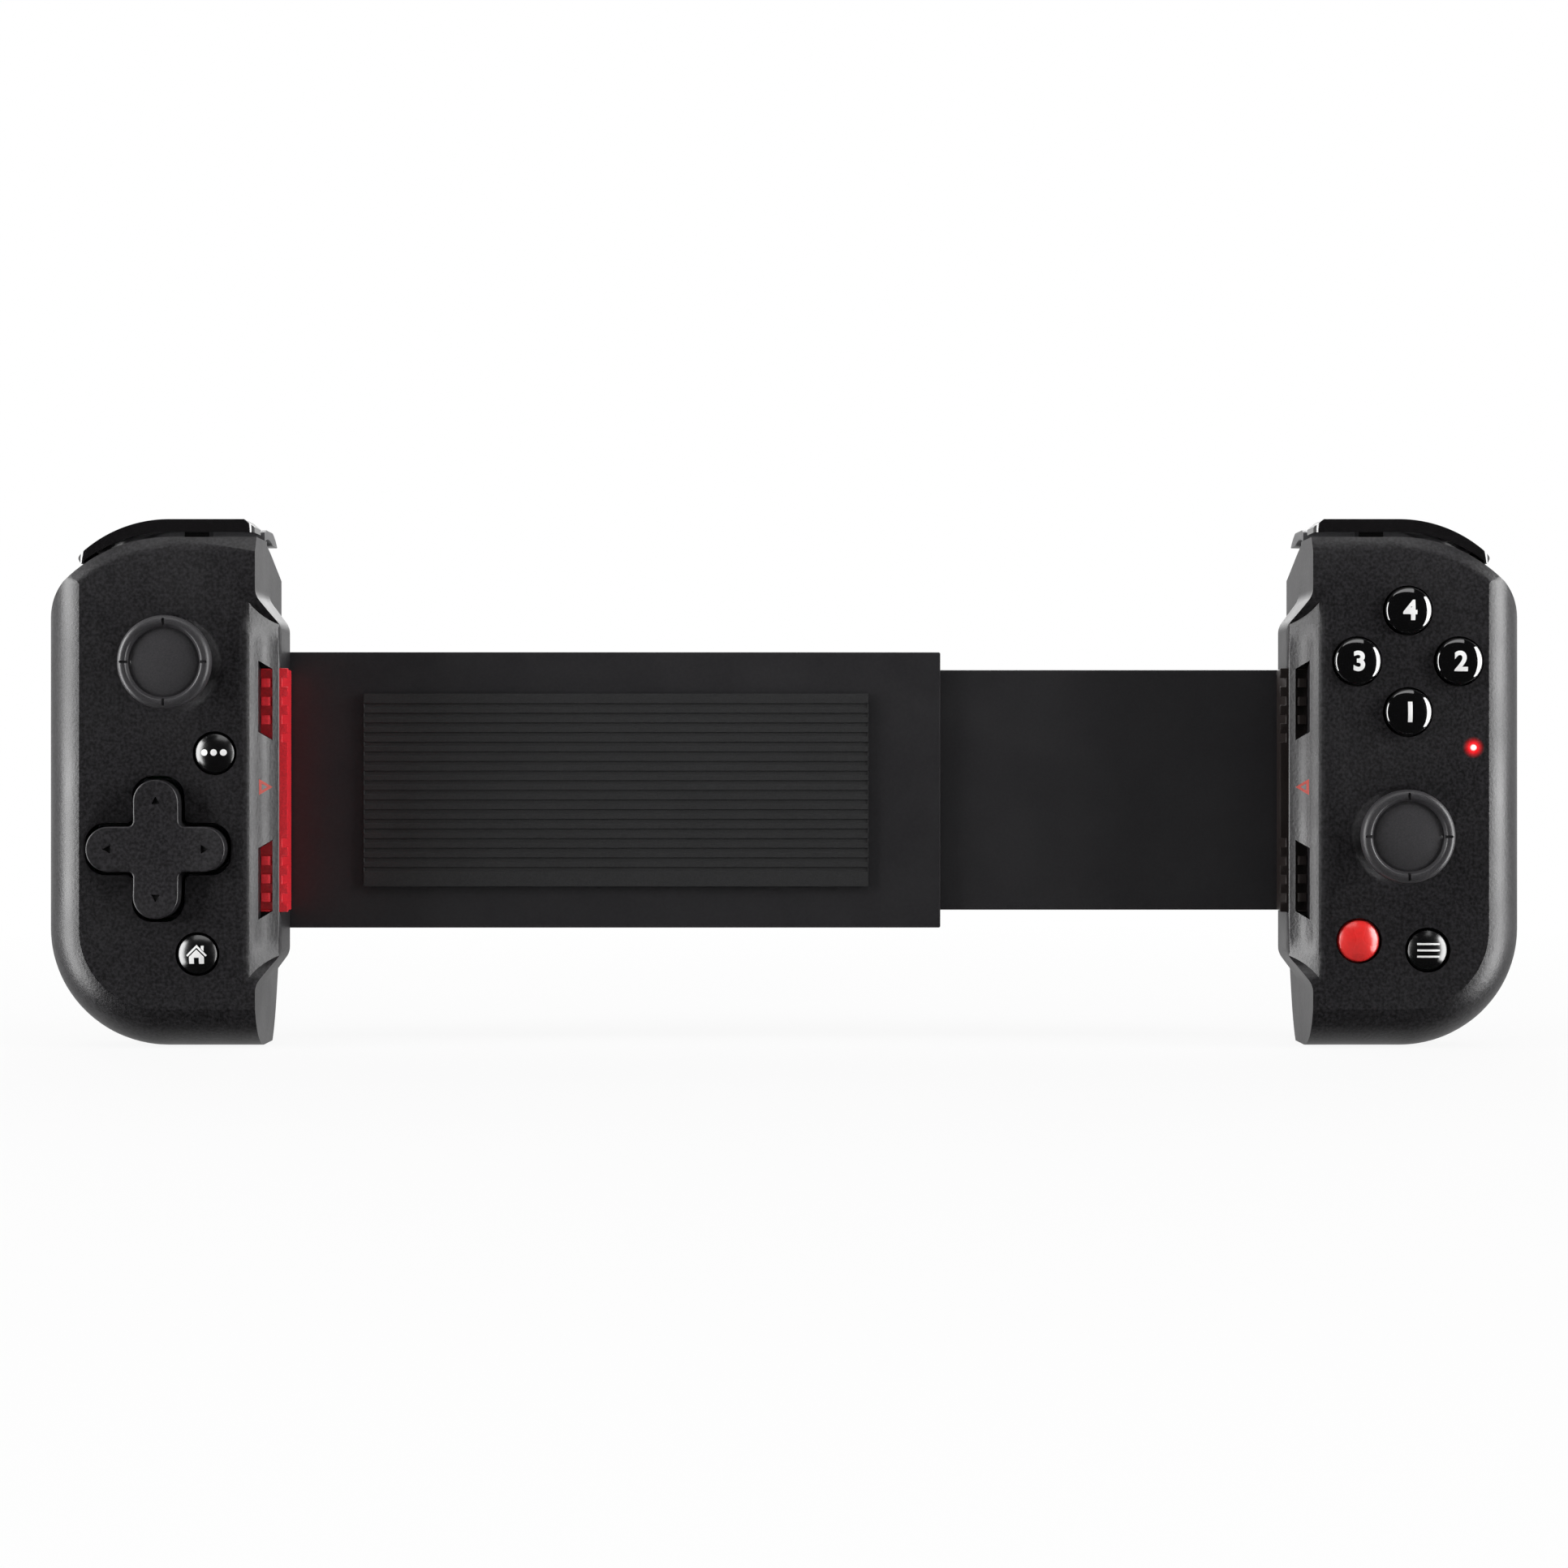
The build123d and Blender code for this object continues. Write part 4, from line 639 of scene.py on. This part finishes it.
cross = bmesh.new()
h, a = pad_half, pad_arm_half
corners = [
    (-a, h), (a, h), (a, a), (h, a), (h, -a), (a, -a),
    (a, -h), (-a, -h), (-a, -a), (-h, -a), (-h, a), (-a, a),
]
cross.faces.new([cross.verts.new((pad_u + x, pad_face, pad_z + z)) for x, z in corners])
inner = inner_corners(cross)
rounded(cross, [v for v in cross.verts if v not in inner], pad_end_round, steps=12, affect="VERTICES")
rounded(cross, inner_corners(cross), pad_corner_round, steps=6, affect="VERTICES")
drawn_deep(cross, (0, pad_rise + pad_under, 0))
bmesh.ops.recalc_face_normals(cross, faces=cross.faces)
break_edges(
    cross, pad_edge, steps=3, least=50, choose=lambda e: all(v.co.y < pad_face + hair for v in e.verts)
)
marks = []
# A thin near-black sheet on the floor of each sunk triangle is painted shade for the recess.
shade_plates = bmesh.new()
for turn in range(4):
    mark = bmesh.new()
    bmesh.ops.create_circle(mark, cap_ends=True, segments=3, radius=mark_radius)
    drawn_deep(mark, (0, 0, 2 * mark_depth))
    bmesh.ops.transform(mark, matrix=Matrix.Rotation(math.radians(90), 4, "X"), verts=mark.verts)
    if abs(max(v.co.z for v in mark.verts) - mark_radius) > hair:
        bmesh.ops.scale(mark, vec=(1, 1, -1), verts=mark.verts)
    bmesh.ops.translate(mark, vec=(0, mark_depth, mark_reach), verts=mark.verts)
    bmesh.ops.transform(mark, matrix=Matrix.Rotation(math.radians(90 * turn), 4, "Y"), verts=mark.verts)
    bmesh.ops.translate(mark, vec=(pad_u, pad_face, pad_z), verts=mark.verts)
    marks.append(loose(mark, "mark"))
    plate = bmesh.new()
    plate.from_mesh(marks[-1].data)
    middle = sum((v.co for v in plate.verts), Vector()) / len(plate.verts)
    bmesh.ops.translate(plate, vec=-middle, verts=plate.verts)
    bmesh.ops.scale(plate, vec=(mark_fill, mark_film, mark_fill), verts=plate.verts)
    middle.y = pad_face + mark_depth * mark_floor
    bmesh.ops.translate(plate, vec=middle, verts=plate.verts)
    gathered(shade_plates, plate)
cross = shaped(cross, "cross", marks)
dish_cuts = int(pad_half / dish_step)
for axis, at in ((x_axis, pad_u), (z_axis, pad_z)):
    for count in range(-dish_cuts, dish_cuts + 1):
        cut_across(cross, axis, at + count * dish_step)
for v in cross.verts[:] + shade_plates.verts[:]:
    if v.co.y < deck_y - pad_rise / 3:
        far = ((v.co.x - pad_u) ** 2 + (v.co.z - pad_z) ** 2) / pad_half**2
        v.co.y += pad_dish * (1 - far)
d_pad_abs = grained("d_pad_abs", (43, 42, 44), 0.4, 0.5 * mm, 0.04 * mm, swing=0.5)
cross_piece = set_piece(cross, "d_pad_cross", "d_pad", d_pad_abs)
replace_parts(cross_piece, "d_pad")
# Near-black painted shade for the floors of the sunk triangles.
painted_recess_shade = grained("painted_recess_shade", (9, 9, 11), 0.5, 0.2 * mm, 0.0, swing=0.2)
set_piece(shade_plates, "d_pad_recess_shade", "d_pad", painted_recess_shade)
paint("d_pad_pivot", black_acetal)
paint("d_pad_seat", black_acetal)


# Push buttons
# Round domed caps moulded in polished black and in coral ABS; each has a flange that keeps it
# under the deck and a stem down to its rubber dome. The signs are pad printed in white.
flange_front, flange_back, flange_past = 2.1, 2.9, 0.8
button_stem = 1.8
face_steps, brim_steps = 12, 8
print_step, print_cuts = 0.25 * mm, 9
print_rise, print_thickness = 0.02, 0.035 * mm
coat_roughness = 0.04
spot_sides = 24


def turned(profile, u, z, steps=72):
    """A solid of revolution about the depth axis; the profile is radius and depth from the deck."""
    bm = bmesh.new()
    ring = [bm.verts.new((u + r * mm, deck_y + d * mm, z)) for r, d in profile]
    line = [bm.edges.new(pair) for pair in zip(ring, ring[1:])]
    bmesh.ops.spin(
        bm, geom=ring + line, cent=(u, 0, z), axis=(0, 1, 0), angle=2 * math.pi, steps=steps, use_merge=True
    )
    bmesh.ops.remove_doubles(bm, verts=bm.verts, dist=sliver)
    bmesh.ops.dissolve_degenerate(bm, edges=bm.edges, dist=sliver / 2)
    bmesh.ops.recalc_face_normals(bm, faces=bm.faces)
    return bm


def dome_height(ball, r):
    """How far a dome of a given ball radius has fallen away at a distance from its crown."""
    return ball - math.sqrt(ball**2 - r**2)


def domed_profile(radius, crown, ball, brim, back):
    """Domed cap, flange and stem of a button, from the middle of its face to the end of its stem."""
    edge = radius - brim
    rings = [edge * count / face_steps for count in range(face_steps + 1)]
    profile = [(r, crown + dome_height(ball, r)) for r in rings]
    tilt = math.asin(edge / ball)
    turn = brim / (1 - math.sin(tilt))
    middle = (radius - turn, profile[-1][1] + turn * math.cos(tilt))
    for count in range(1, brim_steps + 1):
        angle = tilt + (math.pi / 2 - tilt) * count / brim_steps
        profile.append((middle[0] + turn * math.sin(angle), middle[1] - turn * math.cos(angle)))
    flange = radius + flange_past
    return profile + [
        (radius, flange_front), (flange, flange_front), (flange, flange_back), (button_stem, flange_back),
        (button_stem, back), (0, back),
    ]


def glossy(material, coat, index):
    """Lay a clear polished skin on a material."""
    shader = material.node_tree.nodes["Principled BSDF"]
    shader.inputs["Coat Weight"].default_value = coat
    shader.inputs["Coat Roughness"].default_value = coat_roughness
    shader.inputs["IOR"].default_value = index
    return material


def printed(sign, node, crown, ball, name):
    """Lay a flat sign, drawn in the front plane round nought, on a cap's dome as a film of ink."""
    for count in range(-print_cuts, print_cuts + 1):
        for axis in (x_axis, z_axis):
            cut_across(sign, axis, count * print_step)
    low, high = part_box(node)
    for v in sign.verts:
        v.co.y = (crown - print_rise + dome_height(ball, math.hypot(v.co.x, v.co.z) / mm)) * mm
    bmesh.ops.translate(sign, vec=((low.x + high.x) / 2, deck_y, (low.z + high.z) / 2), verts=sign.verts)
    sign.normal_update()
    as_film(sign, print_thickness)
    return set_piece(sign, name, node, print_white)


def outlines(*shapes):
    """Flat faces in the front plane, each from its corners in millimetres."""
    bm = bmesh.new()
    for corners in shapes:
        bm.faces.new([bm.verts.new((x * mm, 0, z * mm)) for x, z in corners])
    return bm


def bar(left, right, low, high):
    """The corners of an upright rectangle."""
    return [(left, low), (right, low), (right, high), (left, high)]


def round_spot(x, z, radius):
    """The corners of a disc."""
    turns = [2 * math.pi * count / spot_sides for count in range(spot_sides)]
    return [(x + radius * math.cos(turn), z + radius * math.sin(turn)) for turn in turns]


black_cap_abs = glossy(
    grained("black_cap_abs", (16, 16, 17), 0.25, 0.3 * mm, 0.001 * mm, swing=0.1, gloss_swing=0.03), 0.0, 1.7
)
coral_abs = glossy(
    grained("coral_abs", (228, 48, 46), 0.28, 0.5 * mm, 0.001 * mm, swing=0.04, gloss_swing=0.03), 0.0, 1.6
)
print_white = grained("print_white", (244, 244, 243), 0.5, 0.2 * mm, 0.0, swing=0.03)
small_crown, small_ball, small_brim = -0.95, 5.0, 0.2
dot_radius, dot_step, dot_up = 0.53, 1.54, 0.1
bar_half, bar_thick, bar_step = 1.82, 0.15, 1.016
house_roof = [(-1.65, -0.12), (-1.44, -0.33), (0, 1.11), (1.44, -0.33), (1.65, -0.12), (0, 1.56)]
house_chimney = [(0.68, 0.99), (1.14, 0.53), (1.14, 1.4), (0.68, 1.4)]
house_walls = [
    (-1.2, -0.38), (-1.2, -1.5), (-0.4, -1.5), (-0.4, -0.5), (0.4, -0.5), (0.4, -1.5), (1.2, -1.5),
    (1.2, -0.38), (0, 0.82),
]
signs = {
    "dots_button": [round_spot(count * dot_step, dot_up, dot_radius) for count in (-1, 0, 1)],
    "home_button": [house_roof, house_chimney, house_walls],
    "menu_button": [
        bar(-bar_half, bar_half, count * bar_step - bar_thick, count * bar_step + bar_thick)
        for count in (-1, 0, 1)
    ],
}
small_buttons = {
    "dots_button": (-91.908 * mm, 47.776 * mm, 3.25, black_cap_abs, "satin_black"),
    "home_button": (-94.692 * mm, 15.318 * mm, 3.25, black_cap_abs, "satin_black"),
    "red_button": (92.812 * mm, 17.471 * mm, 3.4, coral_abs, "red_plastic"),
    "menu_button": (103.914 * mm, 15.980 * mm, 3.35, black_cap_abs, "satin_black"),
}
for node, (u, z, radius, material, slot) in small_buttons.items():
    back = (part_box(node)[1].y - deck_y) / mm
    cap = turned(domed_profile(radius, small_crown, small_ball, small_brim, back), u, z)
    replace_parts(set_piece(cap, node + "_cap", node, material), node)
    if node in signs:
        printed(outlines(*signs[node]), node, small_crown, small_ball, node + "_sign")


# Face buttons
# Four domed caps in piano-black ABS, polished in the mould, with a bold white number pad
# printed on the dome of each.
face_u, face_z = 100.712 * mm, 62.597 * mm
face_step = 8.2 * mm
face_radius = 3.75
face_crown, face_ball, face_brim = -2.0, 6.9, 0.35
number_size, number_high, number_bold = 4.6 * mm, 3.3 * mm, 0.15 * mm


def drawn_number(number):
    """A plain number, flat in the front plane round nought."""
    letters = bpy.data.curves.new("number", "FONT")
    letters.body = str(number)
    letters.size = number_size
    letters.offset = number_bold
    text = bpy.data.objects.new("number", letters)
    bpy.context.scene.collection.objects.link(text)
    bpy.context.view_layer.update()
    sign = bmesh.new()
    sign.from_mesh(bpy.data.meshes.new_from_object(text))
    bpy.data.objects.remove(text)
    bmesh.ops.remove_doubles(sign, verts=sign.verts, dist=weld_gap)
    span = [[min(v.co[i] for v in sign.verts), max(v.co[i] for v in sign.verts)] for i in range(2)]
    bmesh.ops.translate(sign, vec=(-sum(span[0]) / 2, -sum(span[1]) / 2, 0), verts=sign.verts)
    bmesh.ops.scale(sign, vec=Vector((1, 1, 1)) * number_high / (span[1][1] - span[1][0]), verts=sign.verts)
    bmesh.ops.transform(sign, matrix=Matrix.Rotation(math.radians(90), 4, "X"), verts=sign.verts)
    return sign


piano_black = glossy(
    grained("piano_black", (12, 12, 13), 0.07, 0.8 * mm, 0.0, swing=0.1, gloss_swing=0.02), 1.0, 1.6
)
for number, (right, up) in enumerate([(0, -1), (1, 0), (-1, 0), (0, 1)], start=1):
    node = f"face_button_{number}"
    back = (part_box(node)[1].y - deck_y) / mm
    cap = turned(
        domed_profile(face_radius, face_crown, face_ball, face_brim, back),
        face_u + right * face_step, face_z + up * face_step, steps=96,
    )
    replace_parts(set_piece(cap, node + "_cap", node, piano_black), node)
    printed(drawn_number(number), node, face_crown, face_ball, node + "_number")


# Status light
# A small round guide moulded in clear acrylic, held by its flange under the right deck and
# flush with it. A red lamp on the key board shines into its back.
hot_radius, warm_radius = 0.2 * mm, 0.6 * mm
guide_profile = [(0, -0.02), (0.45, 0), (0.6, 0.12), (0.6, 1.8), (1.0, 1.8), (1.0, 2.2), (0, 2.2)]
glow = bpy.data.materials.new("lit_guide")
glow.use_nodes = True
tree = glow.node_tree
lit = tree.nodes["Principled BSDF"]
lit.inputs["Roughness"].default_value = 0.2
lit.inputs["Emission Strength"].default_value = 1.0
shade = tree.nodes.new("ShaderNodeMix")
shade.data_type = "RGBA"
shade.inputs["A"].default_value = tone(255, 235, 225)
shade.inputs["B"].default_value = tone(235, 30, 40)
tree.links.new(swept(tree, from_light(tree), hot_radius, warm_radius), shade.inputs["Factor"])
for name in ("Base Color", "Emission Color"):
    tree.links.new(shade.outputs["Result"], lit.inputs[name])
guide = turned(guide_profile, light_u, light_z, steps=32)
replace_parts(set_piece(guide, "light_guide", "right_grip", glow), "status_light")


# Bumpers
# A polished black strip follows the brow of each grip. It turns on a steel pin at its outer
# end, and its inner end stands on the click switch.
bumper_edge, bumper_least = 0.3 * mm, 35
bumper_foot = 60 * mm
bumper_black = glossy(
    grained("bumper_black", (26, 25, 26), 0.12, 0.8 * mm, 0.0, swing=0.1, gloss_swing=0.03), 0.6, 1.6
)
for side in ("left", "right"):
    moulded(
        side + "_bumper", side + "_bumper_strip", side + "_bumper", "gloss_black", bumper_black,
        width=bumper_edge, least=bumper_least, choose=lambda e: max(v.co.z for v in e.verts) > bumper_foot,
    )
    paint(side + "_bumper_pin", drawn_steel)


# Triggers
# Behind each bumper a satin trigger wraps over the back of the brow. It swings on a steel
# pin between two lugs, and a leaf of spring steel under it gives way and lifts it again.
trigger_edge, trigger_least = 0.35 * mm, 45
satin_trigger = grained("satin_trigger", (78, 78, 80), 0.34, 0.3 * mm, 0.004 * mm, swing=0.1)
for side in ("left", "right"):
    moulded(
        side + "_trigger", side + "_trigger_lever", side + "_trigger", "trigger_plastic", satin_trigger,
        width=trigger_edge, least=trigger_least,
    )
    paint(side + "_trigger_pin", drawn_steel)
    leaf = moulded(side + "_trigger_leaf", side + "_leaf_spring", side + "_grip", "steel", rolled_steel)
    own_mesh(leaf)


# Stick caps
# Rubber caps moulded over the stems: a broad round rim with four fine notches, a step down
# to a shallow disc, and a dome below that closes the well in the deck.
neck_radius, boss_radius, bore_radius = 2.9, 2.6, 1.25
cap_under, bore_end, boss_end = -4.3, -5.15, 3.4
dome_radius, dome_wall, dome_spread, dome_steps = 7.5, 0.7, 53, 12
stick_pivot = 8
cap_face = [
    (0, -6.82), (1.5, -6.77), (3.0, -6.63), (4.2, -6.45), (5.1, -6.27), (5.36, -6.2), (5.48, -6.08),
    (5.6, -6.06), (5.68, -6.15), (5.95, -6.76), (6.04, -6.9), (6.2, -6.97), (6.45, -7.0), (6.7, -6.97),
    (6.95, -6.86), (7.18, -6.68), (7.36, -6.44), (7.46, -6.15), (7.5, -5.8), (7.5, -4.95), (7.4, -4.6),
    (7.15, -4.36), (6.8, cap_under), (neck_radius, cap_under),
]
stick_places = {"left": (-98.902 * mm, 62.266 * mm), "right": (99.598 * mm, 34.403 * mm)}
notch_low, notch_high = 5.5 * mm, 7.0 * mm
notch_front, notch_back = -7.4 * mm, -6.35 * mm
notch_half, notch_round = 0.22 * mm, 0.209 * mm


def dome_line(radius, start, end):
    """Points on a ball round the stick's pivot, between two angles in degrees."""
    angles = [math.radians(start + (end - start) * count / dome_steps) for count in range(dome_steps + 1)]
    return [(radius * math.sin(angle), stick_pivot - radius * math.cos(angle)) for angle in angles]


def notch_cutters(u, z):
    """The four small blocks that cut the notches of a stick's rim, their outer ends rounded."""
    cutters = []
    for turn in range(4):
        notch = block((-notch_half, notch_front, notch_low), (notch_half, notch_back, notch_high))
        far = [
            e for e in notch.edges
            if all(v.co.z > notch_high - hair for v in e.verts)
            and abs(e.verts[0].co.x - e.verts[1].co.x) < hair
        ]
        rounded(notch, far, notch_round, steps=4)
        bmesh.ops.transform(notch, matrix=Matrix.Rotation(math.radians(90 * turn), 4, "Y"), verts=notch.verts)
        bmesh.ops.translate(notch, vec=(u, deck_y, z), verts=notch.verts)
        cutters.append(loose(notch, "notch"))
    return cutters


cap_rubber = grained("cap_rubber", (58, 57, 59), 0.42, 0.25 * mm, 0.006 * mm, swing=0.16)
inner_radius = dome_radius - dome_wall
cap_profile = [
    *cap_face,
    *dome_line(dome_radius, math.degrees(math.asin(neck_radius / dome_radius)), dome_spread),
    *dome_line(inner_radius, dome_spread, math.degrees(math.asin(boss_radius / inner_radius))),
    (boss_radius, boss_end), (bore_radius, boss_end), (bore_radius, bore_end), (0, bore_end),
]
for side, (u, z) in stick_places.items():
    cap = shaped(turned(cap_profile, u, z, steps=96), "cap", notch_cutters(u, z))
    cap_piece = set_piece(cap, side + "_cap", side + "_stick", cap_rubber)
    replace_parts(cap_piece, side + "_stick_cap")


# Shell screws
# Three steel screws with a black oxide skin hold each rear shell to its front half. Their
# heads lie deep in moulded wells.
black_oxide = grained("black_oxide", (30, 30, 32), 0.35, 0.2 * mm, 0.004 * mm, swing=0.2, metallic=0.8)
for side in ("left", "right"):
    paint(side + "_shell_screws", black_oxide)


# Studio
# A pale floor and a white surround behind the object, a tall soft lamp on each side, and
# weaker ones above and behind.
floor_radius, floor_grey = 0.9, 0.6
near_white, far_white, near_lift = 0.12, 0.45, 0.9
plain_level, mirrored_level = 0.1, 0.03
backdrop_edge, backdrop_level = 0.15, 0.6
camera_lens, camera_away, camera_height = 71.12, 0.5, 0.0428


def soft_lamp(name, place, aim, width, height, power):
    """A rectangular soft lamp turned towards a point."""
    lamp = bpy.data.lights.new(name, "AREA")
    lamp.shape = "RECTANGLE"
    lamp.size = width
    lamp.size_y = height
    lamp.energy = power
    holder = bpy.data.objects.new(name, lamp)
    holder.location = place
    holder.rotation_euler = (Vector(aim) - Vector(place)).to_track_quat("-Z", "Y").to_euler()
    bpy.context.scene.collection.objects.link(holder)


def seen_round(tree):
    """Whether a ray comes from the camera, and whether from a mirror or through glass."""
    path = tree.nodes.new("ShaderNodeLightPath")
    mirrored = joined(tree, "MAXIMUM", path.outputs["Is Glossy Ray"], path.outputs["Is Transmission Ray"])
    return path.outputs["Is Camera Ray"], mirrored


for name, way in (("left_lamp", -1), ("right_lamp", 1)):
    soft_lamp(name, (way * 0.74, -0.18, 0.06), (0, 0, 0.05), width=0.36, height=0.9, power=12.5)
soft_lamp("top_lamp", (0, -0.3, 0.75), (0, 0, 0.04), width=0.8, height=0.35, power=1.8)
soft_lamp("back_lamp", (0, 0.7, 0.45), (0, 0, 0.04), width=1.2, height=0.5, power=5.0)

floor_disc = bmesh.new()
bmesh.ops.create_circle(floor_disc, cap_ends=True, segments=96, radius=floor_radius)
floor = loose(floor_disc, "floor")
pale = bpy.data.materials.new("pale_floor")
pale.use_nodes = True
tree = pale.node_tree
matt = tree.nodes["Principled BSDF"]
matt.inputs["Base Color"].default_value = (floor_grey, floor_grey, floor_grey, 1)
matt.inputs["Roughness"].default_value = 0.9
white = tree.nodes.new("ShaderNodeEmission")
spot = tree.nodes.new("ShaderNodeTexCoord")
distance = tree.nodes.new("ShaderNodeVectorMath")
distance.operation = "LENGTH"
tree.links.new(spot.outputs["Object"], distance.inputs[0])
direct, mirrored = seen_round(tree)
lift = swept(tree, distance.outputs["Value"], near_white, far_white, near_lift, 1.0)
clear = tree.nodes.new("ShaderNodeBsdfTransparent")
shown = tree.nodes.new("ShaderNodeMixShader")
mix = tree.nodes.new("ShaderNodeMixShader")
tree.links.new(joined(tree, "MULTIPLY", direct, lift), shown.inputs["Fac"])
tree.links.new(matt.outputs["BSDF"], shown.inputs[1])
tree.links.new(white.outputs["Emission"], shown.inputs[2])
tree.links.new(mirrored, mix.inputs["Fac"])
tree.links.new(shown.outputs["Shader"], mix.inputs[1])
tree.links.new(clear.outputs["BSDF"], mix.inputs[2])
tree.links.new(mix.outputs["Shader"], tree.nodes["Material Output"].inputs["Surface"])
floor.data.materials.append(pale)

world = bpy.data.worlds.new("studio")
bpy.context.scene.world = world
world.use_nodes = True
tree = world.node_tree
around = tree.nodes["Background"]
around.inputs["Color"].default_value = (1, 1, 1, 1)
heading = tree.nodes.new("ShaderNodeTexCoord")
split = tree.nodes.new("ShaderNodeSeparateXYZ")
tree.links.new(heading.outputs["Generated"], split.inputs["Vector"])
direct, mirrored = seen_round(tree)
dim = swept(tree, mirrored, 0.0, 1.0, plain_level, mirrored_level)
behind = swept(tree, split.outputs["Y"], 0.0, backdrop_edge, 0.0, backdrop_level)
backdrop = joined(tree, "MULTIPLY", mirrored, behind)
strength = joined(tree, "MAXIMUM", direct, joined(tree, "ADD", dim, backdrop))
tree.links.new(strength, around.inputs["Strength"])

bpy.context.scene.view_settings.view_transform = "Standard"
view = bpy.data.cameras.new("camera")
view.lens = camera_lens
view.sensor_width = 36.0
view.clip_start = 0.01
view.clip_end = 20.0
camera = bpy.data.objects.new("camera", view)
camera.location = (0, deck_y - camera_away, camera_height)
camera.rotation_euler = (math.radians(90), 0, 0)
bpy.context.scene.collection.objects.link(camera)
bpy.context.scene.camera = camera
